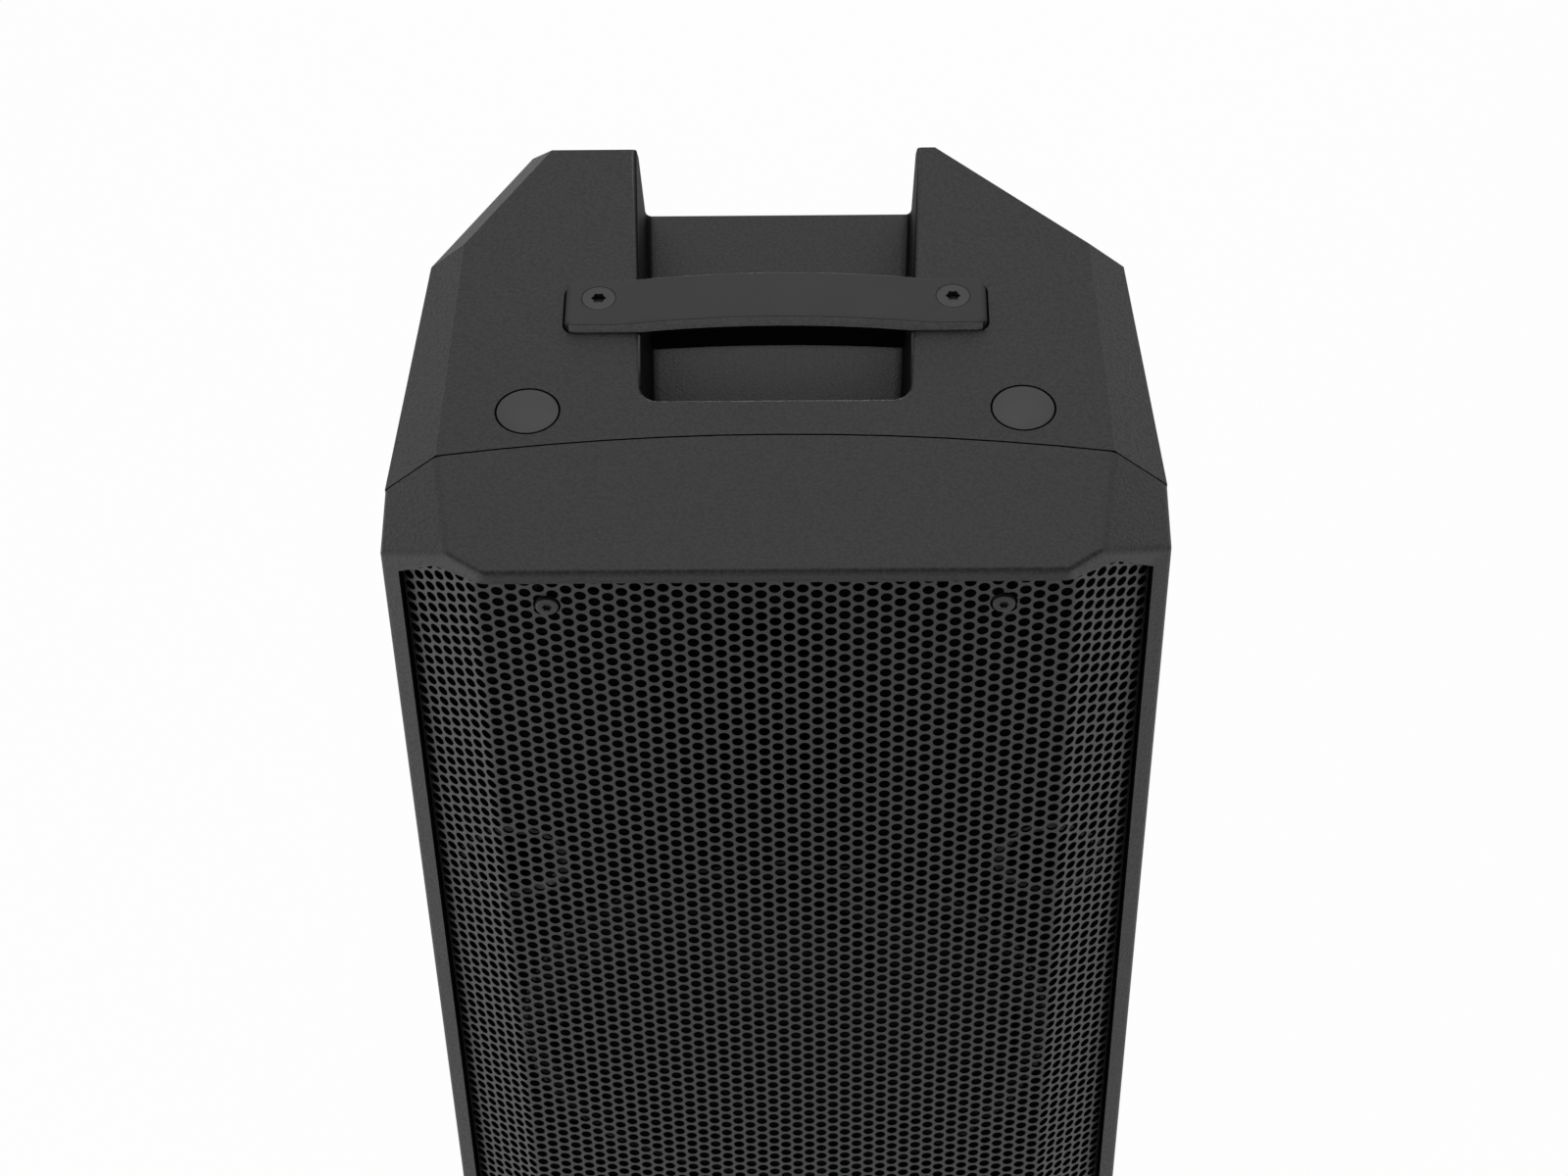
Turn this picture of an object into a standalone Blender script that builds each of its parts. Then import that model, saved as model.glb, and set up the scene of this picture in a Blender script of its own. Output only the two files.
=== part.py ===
"""Portable two-way powered loudspeaker: moulded cabinet, bent grille, strap handle, drivers and amplifier.

Metres, +Z up, the front faces -Y. The origin is on the floor under the middle of the cabinet.
"""
import math

import bmesh
import bpy
from mathutils import Matrix, Vector

# Fits shared by every pair of pieces
SEAT_GAP = 0.0003               # between a piece and the face that it rests on
RUNNING_GAP = 0.0006            # round a piece that slides or turns in its hole
ROUND_STEPS = 20                # facets round small turned pieces
DRIVER_STEPS = 24               # facets round the woofer's visible pieces
MAGNET_STEPS = 20               # facets round its magnet system

# Cabinet moulding
CABINET_WIDTH = 0.400
CABINET_DEPTH = 0.333
CABINET_HEIGHT = 0.658          # from the base plane to the top plane, without the feet
SHELL_WALL = 0.006
SHELL_EDGE = 0.0032             # reach of the rounding on each side of the rear moulding's edges
FRAME_EDGE = 0.0026             # the same on the front moulding
FINE_EDGE = 0.0002              # parting step on small turned pieces
SIDE_TAPER = math.radians(4.75)  # the sides close in towards the rear
LEFT_REAR_REACH = 0.136         # rear face's left end, from the middle plane
LEFT_FLANK_ANGLE = math.radians(29.4)
LEFT_CHAMFER_OUT = 0.017
LEFT_CHAMFER_DROP = 0.017
RIGHT_REAR_REACH = 0.0965       # rear face's right end; that flank is the floor-monitor face
RIGHT_FLANK_ANGLE = math.radians(45)
RIGHT_CHAMFER_OUT = 0.0159
RIGHT_CHAMFER_DROP = 0.0195
REAR_CHAMFER_OUT = 0.013
REAR_CHAMFER_DROP = 0.017
CHAMFER_WIDTH = 0.028           # long top and base corner chamfers, measured at the seam
CHAMFER_DROP = 0.0245
CHAMFER_SPLAY_FRONT = math.radians(8)
CHAMFER_SPLAY_REAR = math.radians(1.7)

# Front moulding: bezel, rails and baffle
FRONT_FRAME_DEPTH = 0.082       # from the lip to the seam with the rear shell
SEAM_BOW = 0.014
SEAM_STEPS = 12
LIP_HALF_WIDTH = 0.145
WING_SETBACK = 0.042            # the rails stand this far behind the lip
LIP_HEIGHT = 0.008
RAIL_WIDTH = 0.0095
LIP_SLOPE = math.radians(18.5)  # the underside of the lip falls away towards the baffle
OPENING_CORNER_DROP = 0.035     # where the opening's corner cut meets its side, below the top plane
BAFFLE_DEPTH = 0.055            # from the lip back to the front of the baffle panel
BAFFLE_THICKNESS = 0.012
FRAME_WALL = 0.005

# Grille: one sheet, bowed forwards, with a wing bent back at each side
GRILLE_SETBACK = 0.0032         # middle of the grille, behind the lip
GRILLE_BOW = 0.0084
GRILLE_BEND_X = 0.150
WING_ANGLE = math.radians(36)
GRILLE_THICKNESS = 0.0015
GRILLE_EDGE_GAP = 0.0015
GRILLE_COLUMNS = 7              # columns of openings between the two bends
GRILLE_WING_COLUMNS = 1
GRILLE_ROWS = 13
GRILLE_WEB = 0.0075             # sheet left between two openings
GRILLE_SCREW_X = 0.114
GRILLE_SCREW_INSET = 0.032      # from the cabinet's top and base planes
GRILLE_SCREW_RADIUS = 0.0024
GRILLE_HEAD_RADIUS = 0.006
GRILLE_HEAD_HEIGHT = 0.003
GRILLE_SCREW_LENGTH = 0.020
GRILLE_POST_RADIUS = 0.007

# Hand pocket and strap handle
POCKET_DEPTH = 0.060
POCKET_SETBACK = 0.122          # front edge of the pocket, behind the lip
POCKET_TOP_HALF_FRONT = 0.0692
POCKET_TOP_HALF_REAR = 0.078
POCKET_FLOOR_HALF_FRONT = 0.064
POCKET_FLOOR_HALF_REAR = 0.0749
POCKET_CORNER = 0.009
POCKET_FLOOR_FILLET = 0.006
POCKET_RIM = 0.0025             # rounding of the pocket's upper edge
POCKET_RIM_STEPS = 3
STRAP_LENGTH = 0.2215
STRAP_WIDTH = 0.0345
STRAP_SETBACK = 0.1903          # middle of the strap, behind the lip
STRAP_PROUD = 0.0052            # top of the strap's ends above the cabinet's top
STRAP_ARCH = 0.0052
STRAP_THICKNESS = 0.0074
STRAP_CORNER = 0.005
STRAP_EDGE = 0.0036             # rolled edge at the front, the ends and below
STRAP_FAR_EDGE = 0.0012         # the upper edge at the rear is rolled less
STRAP_RECESS_GAP = 0.0012
STRAP_SCREW_SPACING = 0.1864
STRAP_SCREW_OFFSET = 0.0034     # the screws sit behind the middle of the strap
STRAP_SCREW_RADIUS = 0.004
STRAP_HEAD_RADIUS = 0.0090
STRAP_HEAD_HEIGHT = 0.0042
STRAP_SCREW_LENGTH = 0.026
STRAP_HEX_RADIUS = 0.0029
STRAP_HEX_DEPTH = 0.0028
STRAP_BOSS_RADIUS = 0.010

# Rubber pads, feet and the stand socket
PAD_RADIUS = 0.016
PAD_SEAT_DEPTH = 0.0025
PAD_RIM_GAP = 0.0010
PAD_STEPS = 32                  # facets round a pad's seat
PAD_DOME = 0.0018
PAD_SIDE = 0.073                # middle of a pad and of a front foot, from the cabinet's side
PAD_SETBACK = 0.114             # behind the lip
FOOT_HEIGHT = 0.006
FOOT_RADIUS = 0.017
FOOT_SEAT_DEPTH = 0.0025
REAR_FOOT_SIDE = 0.095
REAR_FOOT_SETBACK = 0.245       # behind the lip
POLE_RADIUS = 0.0178            # takes a 35 mm stand pole
POLE_CUP_WALL = 0.003
POLE_CUP_DEPTH = 0.085
POLE_FLANGE_RADIUS = 0.042
POLE_FLANGE_THICKNESS = 0.003
POLE_HOLE_RADIUS = 0.033        # hole in the base, under the cup's flange
POLE_SETBACK = 0.165            # behind the lip

# Woofer
WOOFER_RISE = 0.212             # centre above the base plane
FLANGE_RADIUS = 0.155
FLANGE_THICKNESS = 0.003
BASKET_MOUTH_RADIUS = 0.1425
BASKET_SHEET = 0.0025
BASKET_DEPTH = 0.088            # baffle front to the rear ring
SPIDER_SHELF_DEPTH = 0.063
SPIDER_SHELF_RADIUS = 0.084
SPIDER_SHELF_WIDTH = 0.008
BASKET_NECK_RADIUS = 0.066
BASKET_BORE_RADIUS = 0.047
BASKET_WINDOWS = 6
WINDOW_HALF_WIDTH = 0.030
COIL_RADIUS = 0.038
COIL_WALL = 0.0007
COIL_LENGTH = 0.043
MAGNET_GAP = 0.0011             # coil to pole and coil to top plate
TOP_PLATE_RADIUS = 0.064
TOP_PLATE_THICKNESS = 0.008
MAGNET_RADIUS = 0.085
MAGNET_BORE_RADIUS = 0.046
MAGNET_THICKNESS = 0.020
BACK_PLATE_RADIUS = 0.080
BACK_PLATE_THICKNESS = 0.008
POLE_VENT_RADIUS = 0.010
CONE_RADIUS = 0.1275
CONE_DEPTH = 0.060
CONE_SHEET = 0.0015
CONE_FRONT = 0.002              # cone edge in front of the baffle
DUST_CAP_RADIUS = 0.052
DUST_CAP_HEIGHT = 0.018
SURROUND_SHEET = 0.0014
SURROUND_ROLL = 0.007
SURROUND_LIP = 0.009
SPIDER_SHEET = 0.001
SPIDER_WAVE = 0.0025
SPIDER_WAVES = 3

# Horn, compression driver and ports
HORN_MOUTH_RADIUS = 0.075
HORN_FLANGE_WIDTH = 0.250
HORN_FLANGE_HEIGHT = 0.180
HORN_FLANGE_CORNER = 0.030
HORN_FLANGE_THICKNESS = 0.0035
HORN_DEPTH = 0.088
HORN_WALL = 0.003
THROAT_RADIUS = 0.0175
HORN_STEPS = 24
HORN_RINGS = 4
DRIVER_FLANGE_RADIUS = 0.050
DRIVER_FLANGE_THICKNESS = 0.007
DRIVER_RADIUS = 0.045
DRIVER_LENGTH = 0.042
DRIVER_COVER_LENGTH = 0.014
PORT_SIDE = 0.050               # middle of a port, from the cabinet's side
PORT_RISE = 0.366
PORT_RADIUS = 0.025
PORT_WALL = 0.0025
PORT_FLANGE_RADIUS = 0.032
PORT_FLANGE_THICKNESS = 0.003
PORT_LENGTH = 0.105

# Amplifier module in the rear recess
RECESS_DEPTH = 0.020
RECESS_MARGIN = 0.004           # widening of the recess from its floor to the rear face
PANEL_WIDTH = 0.196
PANEL_HEIGHT = 0.364
PANEL_RISE = 0.144              # lower edge above the base plane
PANEL_THICKNESS = 0.003
PANEL_REST = 0.010              # width of the ledge under the panel's edge
PANEL_CORNER = 0.006
PANEL_EDGE_GAP = 0.0015
CONTROL_SPACING = 0.044
SOCKET_DROP = 0.040             # socket row below the panel's top edge
KNOB_DROP = 0.086
BUTTON_DROP = 0.116
SOCKET_FLANGE_WIDTH = 0.026
SOCKET_FLANGE_HEIGHT = 0.031
SOCKET_FLANGE_THICKNESS = 0.002
SOCKET_CORNER = 0.002
SOCKET_BODY_RADIUS = 0.0118
SOCKET_BODY_LENGTH = 0.022
SOCKET_HOLE_RADIUS = 0.0080
SOCKET_HOLE_DEPTH = 0.016
LATCH_WIDTH = 0.007
LATCH_HEIGHT = 0.0022
LATCH_PROUD = 0.0020
LATCH_TRAVEL = 0.0012
KNOB_RADIUS = 0.0075
KNOB_LENGTH = 0.0115
KNOB_SHAFT_RADIUS = 0.003
KNOB_NOTCH = 0.0012
POT_RADIUS = 0.008
POT_LENGTH = 0.007
BUTTON_WIDTH = 0.010
BUTTON_HEIGHT = 0.006
BUTTON_PROUD = 0.0035
BUTTON_CORNER = 0.001
LAMP_RADIUS = 0.0025
CONTROL_BOARD_GAP = 0.010       # control board behind the panel
BOARD_THICKNESS = 0.0016
HEATSINK_WIDTH = 0.164
HEATSINK_HEIGHT = 0.132
HEATSINK_RISE = 0.084           # lower edge above the panel's lower edge
HEATSINK_BASE = 0.0025
FIN_HEIGHT = 0.0115
FIN_THICKNESS = 0.0022
FIN_COUNT = 15
INLET_RISE = 0.040
INLET_OFFSET = 0.040
INLET_WIDTH = 0.030
INLET_HEIGHT = 0.024
INLET_FLANGE = 0.005
INLET_DEPTH = 0.020
INLET_WALL = 0.002
INLET_PIN = 0.002
INLET_PIN_LENGTH = 0.012
ROCKER_WIDTH = 0.012
ROCKER_HEIGHT = 0.020
ROCKER_TILT = math.radians(7)
ROCKER_CROWN = 0.0035           # middle of the rocker in front of the panel
ROCKER_DEPTH = 0.006
SWITCH_FLANGE = 0.003
SWITCH_FLANGE_THICKNESS = 0.0015
SWITCH_WALL = 0.0015
SWITCH_DEPTH = 0.014
STANDOFF_RADIUS = 0.004
STANDOFF_LENGTH = 0.012
BOARD_WIDTH = 0.150
AMP_BOARD_HEIGHT = 0.110
POWER_BOARD_HEIGHT = 0.030
BOARD_SPACING = 0.012
DAMPING_THICKNESS = 0.015
DAMPING_HEIGHT = 0.230
DAMPING_RISE = 0.060
DAMPING_LENGTH = 0.100

# Planes and points that follow from the sizes above
HALF_WIDTH = CABINET_WIDTH / 2
PAD_X = HALF_WIDTH - PAD_SIDE
REAR_FOOT_X = HALF_WIDTH - REAR_FOOT_SIDE
PORT_X = HALF_WIDTH - PORT_SIDE
FRONT_Y = -CABINET_DEPTH / 2
REAR_Y = CABINET_DEPTH / 2
POCKET_FRONT_Y = FRONT_Y + POCKET_SETBACK
STRAP_Y = FRONT_Y + STRAP_SETBACK
STRAP_SCREW_Y = STRAP_Y + STRAP_SCREW_OFFSET
PAD_Y = FRONT_Y + PAD_SETBACK
REAR_FOOT_Y = FRONT_Y + REAR_FOOT_SETBACK
POLE_Y = FRONT_Y + POLE_SETBACK
BASE_Z = FOOT_HEIGHT
TOP_Z = FOOT_HEIGHT + CABINET_HEIGHT
MIDDLE_Z = (BASE_Z + TOP_Z) / 2
SEAM_Y = FRONT_Y + FRONT_FRAME_DEPTH
BAFFLE_Y = FRONT_Y + BAFFLE_DEPTH
BEYOND = CABINET_DEPTH          # how far a cutter runs past the moulding
WOOFER_Z = BASE_Z + WOOFER_RISE
OPENING_TOP_Z = TOP_Z - LIP_HEIGHT - BAFFLE_DEPTH * math.tan(LIP_SLOPE)
HORN_Z = (WOOFER_Z + FLANGE_RADIUS + OPENING_TOP_Z) / 2  # midway between the woofer and the lip
PORT_Z = BASE_Z + PORT_RISE
PANEL_X = (RIGHT_REAR_REACH - LEFT_REAR_REACH) / 2
PANEL_LOW = BASE_Z + PANEL_RISE
PANEL_TOP = PANEL_LOW + PANEL_HEIGHT
RECESS_FLOOR_Y = REAR_Y - RECESS_DEPTH
PANEL_FACE_Y = RECESS_FLOOR_Y + SEAT_GAP + PANEL_THICKNESS
PANEL_BACK_Y = RECESS_FLOOR_Y + SEAT_GAP
OPENING_HALF_WIDTH = HALF_WIDTH - RAIL_WIDTH
GRILLE_HALF_WIDTH = OPENING_HALF_WIDTH - GRILLE_EDGE_GAP
GRILLE_LOW = BASE_Z + LIP_HEIGHT + GRILLE_EDGE_GAP
GRILLE_TOP = TOP_Z - LIP_HEIGHT - GRILLE_EDGE_GAP
GRILLE_ROW = (GRILLE_TOP - GRILLE_LOW) / (GRILLE_ROWS + 0.5)

# Finishes: colour, roughness and metallic share
FINISHES = {
    "textured polypropylene": ((0.040, 0.040, 0.042, 1), 0.62, 0.0),
    "powder-coated steel": ((0.035, 0.035, 0.036, 1), 0.50, 0.0),
    "black rubber": ((0.045, 0.045, 0.046, 1), 0.72, 0.0),
    "black steel screw": ((0.050, 0.050, 0.052, 1), 0.38, 0.7),
    "painted steel": ((0.030, 0.030, 0.032, 1), 0.45, 0.0),
    "bare steel": ((0.560, 0.560, 0.580, 1), 0.35, 1.0),
    "ferrite": ((0.060, 0.060, 0.062, 1), 0.70, 0.0),
    "coated paper": ((0.025, 0.025, 0.026, 1), 0.85, 0.0),
    "coated cloth": ((0.030, 0.030, 0.030, 1), 0.80, 0.0),
    "resin cloth": ((0.420, 0.300, 0.120, 1), 0.80, 0.0),
    "copper winding": ((0.720, 0.360, 0.180, 1), 0.40, 1.0),
    "moulded plastic": ((0.020, 0.020, 0.021, 1), 0.40, 0.0),
    "cast aluminium": ((0.500, 0.510, 0.520, 1), 0.45, 1.0),
    "painted aluminium": ((0.025, 0.025, 0.027, 1), 0.48, 0.0),
    "circuit board": ((0.020, 0.120, 0.055, 1), 0.50, 0.0),
    "clear lamp": ((0.100, 0.550, 0.180, 1), 0.20, 0.0),
    "damping foam": ((0.090, 0.090, 0.095, 1), 0.95, 0.0),
}


def clear_scene():
    """Removes whatever the scene holds."""
    for thing in list(bpy.data.objects):
        bpy.data.objects.remove(thing, do_unlink=True)


def add_material(name, finish):
    """A Principled material of one of the finishes."""
    colour, roughness, metallic = FINISHES[finish]
    material = bpy.data.materials.new(name)
    material.use_nodes = True
    shader = material.node_tree.nodes["Principled BSDF"]
    shader.inputs["Base Color"].default_value = colour
    shader.inputs["Roughness"].default_value = roughness
    shader.inputs["Metallic"].default_value = metallic
    return material


def add_object(name, bm, place=Matrix.Identity(4)):
    """Turns a bmesh into an object at a place."""
    bmesh.ops.recalc_face_normals(bm, faces=bm.faces)
    mesh = bpy.data.meshes.new(name)
    bm.to_mesh(mesh)
    bm.free()
    thing = bpy.data.objects.new(name, mesh)
    thing.matrix_world = place
    bpy.context.scene.collection.objects.link(thing)
    return thing


def add_piece(name, bm, finish, place=Matrix.Identity(4), smooth=False):
    """One named sub-part with its own material."""
    piece = add_object(name, bm, place)
    piece.data.materials.append(add_material(name + "_finish", finish))
    if smooth:
        piece.data.shade_smooth()
        piece.data.set_sharp_from_angle(angle=math.radians(35))
    return piece


def add_tool(name, bm, place=Matrix.Identity(4)):
    """A hidden shape that only cuts or adds to a piece."""
    tool = add_object(name, bm, place)
    tool.hide_render = True
    tool.display_type = "WIRE"
    return tool


def combine(piece, tool, operation):
    """Leaves a Boolean on the piece."""
    boolean = piece.modifiers.new(tool.name, "BOOLEAN")
    boolean.operation = operation
    boolean.solver = "EXACT"
    boolean.object = tool


def cut(piece, tool):
    combine(piece, tool, "DIFFERENCE")


def weld(piece, tool):
    combine(piece, tool, "UNION")


def facing_front(x, y, z):
    """Places a turned shape with its own +Z towards the front."""
    return Matrix.Translation((x, y, z)) @ Matrix.Rotation(math.pi / 2, 4, "X")


def facing_rear(x, y, z):
    """Places a turned shape with its own +Z towards the rear."""
    return Matrix.Translation((x, y, z)) @ Matrix.Rotation(-math.pi / 2, 4, "X")


def prism(outline, low, high):
    """Extrudes a plan outline of (x, y) points between two heights."""
    bm = bmesh.new()
    base = bm.faces.new([bm.verts.new((x, y, low)) for x, y in outline])
    raised = bmesh.ops.extrude_face_region(bm, geom=[base])["geom"]
    corners = [item for item in raised if isinstance(item, bmesh.types.BMVert)]
    bmesh.ops.translate(bm, verts=corners, vec=(0, 0, high - low))
    bmesh.ops.recalc_face_normals(bm, faces=bm.faces)
    return bm


def box(low, high):
    """A block between two corners."""
    return prism([(low[0], low[1]), (high[0], low[1]), (high[0], high[1]), (low[0], high[1])],
                 low[2], high[2])


def turned(profile, steps=ROUND_STEPS):
    """Spins (radius, height) points about Z; a profile that ends on the axis stays open there."""
    bm = bmesh.new()
    points = [bm.verts.new((radius, 0, height)) for radius, height in profile]
    edges = [bm.edges.new(pair) for pair in zip(points, points[1:])]
    if profile[0][0] > 0:
        edges.append(bm.edges.new((points[-1], points[0])))
    bmesh.ops.spin(bm, geom=points + edges, cent=(0, 0, 0), axis=(0, 0, 1), angle=2 * math.pi,
                   steps=steps, use_merge=True)
    bmesh.ops.remove_doubles(bm, verts=bm.verts, dist=1e-7)
    bmesh.ops.dissolve_degenerate(bm, dist=1e-7, edges=bm.edges)
    bmesh.ops.recalc_face_normals(bm, faces=bm.faces)
    return bm


def disc(radius, low, high, steps=ROUND_STEPS):
    """A plain round bar along Z."""
    return turned([(0, low), (radius, low), (radius, high), (0, high)], steps)


def rounded_rectangle(width, height, radius, steps=4):
    """Outline of a rectangle about the origin with round corners."""
    points = []
    for quarter in range(4):
        across = (width / 2 - radius) * (1 if quarter in (0, 3) else -1)
        along = (height / 2 - radius) * (1 if quarter in (0, 1) else -1)
        for step in range(steps + 1):
            angle = (quarter + step / steps) * math.pi / 2
            points.append((across + radius * math.cos(angle), along + radius * math.sin(angle)))
    return points


def inset_outline(points, distance):
    """Moves every side of a counter-clockwise outline inwards by a distance."""
    lines = []
    for here, there in zip(points, points[1:] + points[:1]):
        along = (Vector(there) - Vector(here)).normalized()
        inward = Vector((-along.y, along.x))
        lines.append((Vector(here) + inward * distance, along))
    corners = []
    for (start, first), (other, second) in zip(lines[-1:] + lines[:-1], lines):
        across = first.x * second.y - first.y * second.x
        gap = other - start
        reach = (gap.x * second.y - gap.y * second.x) / across
        corner = start + first * reach
        corners.append((corner.x, corner.y))
    return corners


def slice_off(bm, point, normal):
    """Cuts away what lies beyond a plane and closes the cut."""
    everything = bm.verts[:] + bm.edges[:] + bm.faces[:]
    bmesh.ops.bisect_plane(bm, geom=everything, plane_co=point, plane_no=normal, clear_outer=True)
    bmesh.ops.remove_doubles(bm, verts=bm.verts, dist=1e-6)
    bmesh.ops.dissolve_degenerate(bm, dist=1e-6, edges=bm.edges)
    bmesh.ops.holes_fill(bm, edges=[edge for edge in bm.edges if edge.is_boundary])


def soften(bm, radius, wanted, sharp=math.radians(12), segments=2):
    """Rounds the edges sharper than an angle for which wanted(middle of the edge) is true."""
    bmesh.ops.recalc_face_normals(bm, faces=bm.faces)
    edges = []
    for edge in bm.edges:
        middle = (edge.verts[0].co + edge.verts[1].co) / 2
        if edge.calc_face_angle(0) > sharp and wanted(middle):
            edges.append(edge)
    bmesh.ops.bevel(bm, geom=edges, offset=radius, offset_type="OFFSET", segments=segments,
                    profile=0.5, affect="EDGES", clamp_overlap=True, material=-1)


def flank_corner(reach, angle):
    """Where a rear flank meets the tapering side, as (distance from the middle plane, y)."""
    taper = math.tan(SIDE_TAPER)
    slope = math.tan(angle)
    y = (HALF_WIDTH + SEAM_Y * taper - reach - REAR_Y * slope) / (taper - slope)
    return HALF_WIDTH - (y - SEAM_Y) * taper, y


def side_reach(y):
    """Half the rear moulding's width at a depth."""
    return HALF_WIDTH - (y - SEAM_Y) * math.tan(SIDE_TAPER)


def seam_points(gap):
    """The bowed line where the two mouldings meet, from left to right."""
    flat = HALF_WIDTH - CHAMFER_WIDTH
    points = []
    for step in range(SEAM_STEPS + 1):
        x = -flat + 2 * flat * step / SEAM_STEPS
        points.append((x, SEAM_Y + gap + SEAM_BOW * (1 - (x / flat) ** 2)))
    return points


def chamfer_planes(splay, direction, depth):
    """The four long corner chamfers of one moulding, moved inwards by a depth, as (point, normal)."""
    along = Vector((-math.sin(splay), direction * math.cos(splay), 0))
    across = Vector((CHAMFER_WIDTH, 0, -CHAMFER_DROP))
    normal = along.cross(across).normalized()
    if normal.z < 0:
        normal = -normal
    point = Vector((HALF_WIDTH - CHAMFER_WIDTH, SEAM_Y, TOP_Z)) - normal * depth
    planes = []
    for side in (1, -1):
        for up in (1, -1):
            height = MIDDLE_Z + up * (point.z - MIDDLE_Z)
            planes.append((Vector((side * point.x, point.y, height)),
                           Vector((side * normal.x, normal.y, up * normal.z))))
    return planes


def rear_solid(depth, front):
    """The rear moulding's outer form, with every outer wall moved inwards by a depth."""
    left_x, left_y = flank_corner(LEFT_REAR_REACH, LEFT_FLANK_ANGLE)
    right_x, right_y = flank_corner(RIGHT_REAR_REACH, RIGHT_FLANK_ANGLE)
    left_end, right_end = front[0][1], front[-1][1]
    outline = [(-side_reach(left_end), left_end)] + list(front[1:-1]) + [(side_reach(right_end), right_end)]
    outline += [(right_x, right_y), (RIGHT_REAR_REACH, REAR_Y)]
    outline += [(-LEFT_REAR_REACH, REAR_Y), (-left_x, left_y)]
    if depth:
        outline = inset_outline(outline, depth)
    bm = prism(outline, BASE_Z + depth, TOP_Z - depth)
    for point, normal in chamfer_planes(CHAMFER_SPLAY_REAR, 1, depth):
        slice_off(bm, point, normal)
    for point, normal in rear_chamfer_planes(depth):
        slice_off(bm, point, normal)
    return bm


def rear_chamfer_planes(depth):
    """The chamfers over the two flanks and the rear face, moved inwards by a depth, as (point, normal)."""
    left, right = LEFT_FLANK_ANGLE, RIGHT_FLANK_ANGLE
    faces = [(-LEFT_REAR_REACH, (-math.cos(left), math.sin(left)), LEFT_CHAMFER_OUT, LEFT_CHAMFER_DROP),
             (RIGHT_REAR_REACH, (math.cos(right), math.sin(right)), RIGHT_CHAMFER_OUT, RIGHT_CHAMFER_DROP),
             (0, (0, 1), REAR_CHAMFER_OUT, REAR_CHAMFER_DROP)]
    planes = []
    for x, (across, along), out, drop in faces:
        for up in (1, -1):
            normal = Vector((across * drop, along * drop, up * out)).normalized()
            edge = Vector((x, REAR_Y, MIDDLE_Z + up * (CABINET_HEIGHT / 2 - drop)))
            planes.append((edge - normal * depth, normal))
    return planes


def pocket_outline(height, grow):
    """Plan of the hand pocket at a height, open at the rear, as (x, y) points."""
    share = (height - TOP_Z + POCKET_DEPTH) / POCKET_DEPTH
    half_front = POCKET_FLOOR_HALF_FRONT + (POCKET_TOP_HALF_FRONT - POCKET_FLOOR_HALF_FRONT) * share
    half_rear = POCKET_FLOOR_HALF_REAR + (POCKET_TOP_HALF_REAR - POCKET_FLOOR_HALF_REAR) * share
    rear = REAR_Y + BEYOND / 10
    half_rear += (half_rear - half_front) * (rear - REAR_Y) / (REAR_Y - POCKET_FRONT_Y)
    front = POCKET_FRONT_Y - grow
    corner = POCKET_CORNER + grow
    outline = [(-half_rear - grow, rear)]
    for step in range(5):
        angle = math.pi + step * math.pi / 8
        outline.append((-half_front - grow + corner * (1 + math.cos(angle)),
                        front + corner * (1 + math.sin(angle))))
    return outline + [(-x, y) for x, y in reversed(outline)]


def pocket_solid(grow, rim):
    """The hand pocket with a rounded rim; grown, it is the tub that the pocket is moulded in."""
    floor_z = TOP_Z - POCKET_DEPTH
    levels = [(floor_z, floor_z - grow, grow), (TOP_Z - rim, TOP_Z - rim, grow)]
    for step in range(1, POCKET_RIM_STEPS + 1):
        turn = step / POCKET_RIM_STEPS * math.pi / 2
        height = TOP_Z - rim * (1 - math.sin(turn))
        levels.append((height, height, grow + rim * (1 - math.cos(turn))))
    levels = levels if rim else levels[:2]
    levels.append((TOP_Z, TOP_Z + SHELL_WALL, levels[-1][2]))
    bm = bmesh.new()
    rings = []
    for drawn, height, widen in levels:
        rings.append([bm.verts.new((x, y, height)) for x, y in pocket_outline(drawn, widen)])
    floor = bm.faces.new(rings[0])
    bm.faces.new(rings[-1])
    for ring, following in zip(rings, rings[1:]):
        for index in range(len(ring)):
            after = (index + 1) % len(ring)
            bm.faces.new((ring[index], ring[after], following[after], following[index]))
    edges = [edge for edge in floor.edges if min(v.co.y for v in edge.verts) < REAR_Y]
    bmesh.ops.bevel(bm, geom=edges, offset=POCKET_FLOOR_FILLET, offset_type="OFFSET", segments=3,
                    profile=0.5, affect="EDGES", clamp_overlap=True, material=-1)
    bmesh.ops.recalc_face_normals(bm, faces=bm.faces)
    return bm


def recess_solid(grow):
    """The amplifier's recess in the rear face; grown, it is the tub behind it."""
    bm = bmesh.new()
    rings = []
    for y, widen in ((RECESS_FLOOR_Y - grow, grow), (REAR_Y + SHELL_WALL, RECESS_MARGIN + grow)):
        outline = rounded_rectangle(PANEL_WIDTH + 2 * (PANEL_EDGE_GAP + widen),
                                    PANEL_HEIGHT + 2 * (PANEL_EDGE_GAP + widen), PANEL_CORNER + widen, 3)
        rings.append([bm.verts.new((PANEL_X + x, y, (PANEL_LOW + PANEL_TOP) / 2 + z)) for x, z in outline])
    bm.faces.new(rings[0])
    bm.faces.new(rings[1])
    for index in range(len(rings[0])):
        after = (index + 1) % len(rings[0])
        bm.faces.new((rings[0][index], rings[0][after], rings[1][after], rings[1][index]))
    bmesh.ops.recalc_face_normals(bm, faces=bm.faces)
    return bm


def base_foot_places():
    """The four feet under the base."""
    return {"base_foot_front_left": (-PAD_X, PAD_Y),
            "base_foot_front_right": (PAD_X, PAD_Y),
            "base_foot_rear_left": (-REAR_FOOT_X, REAR_FOOT_Y),
            "base_foot_rear_right": (REAR_FOOT_X, REAR_FOOT_Y)}


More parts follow.
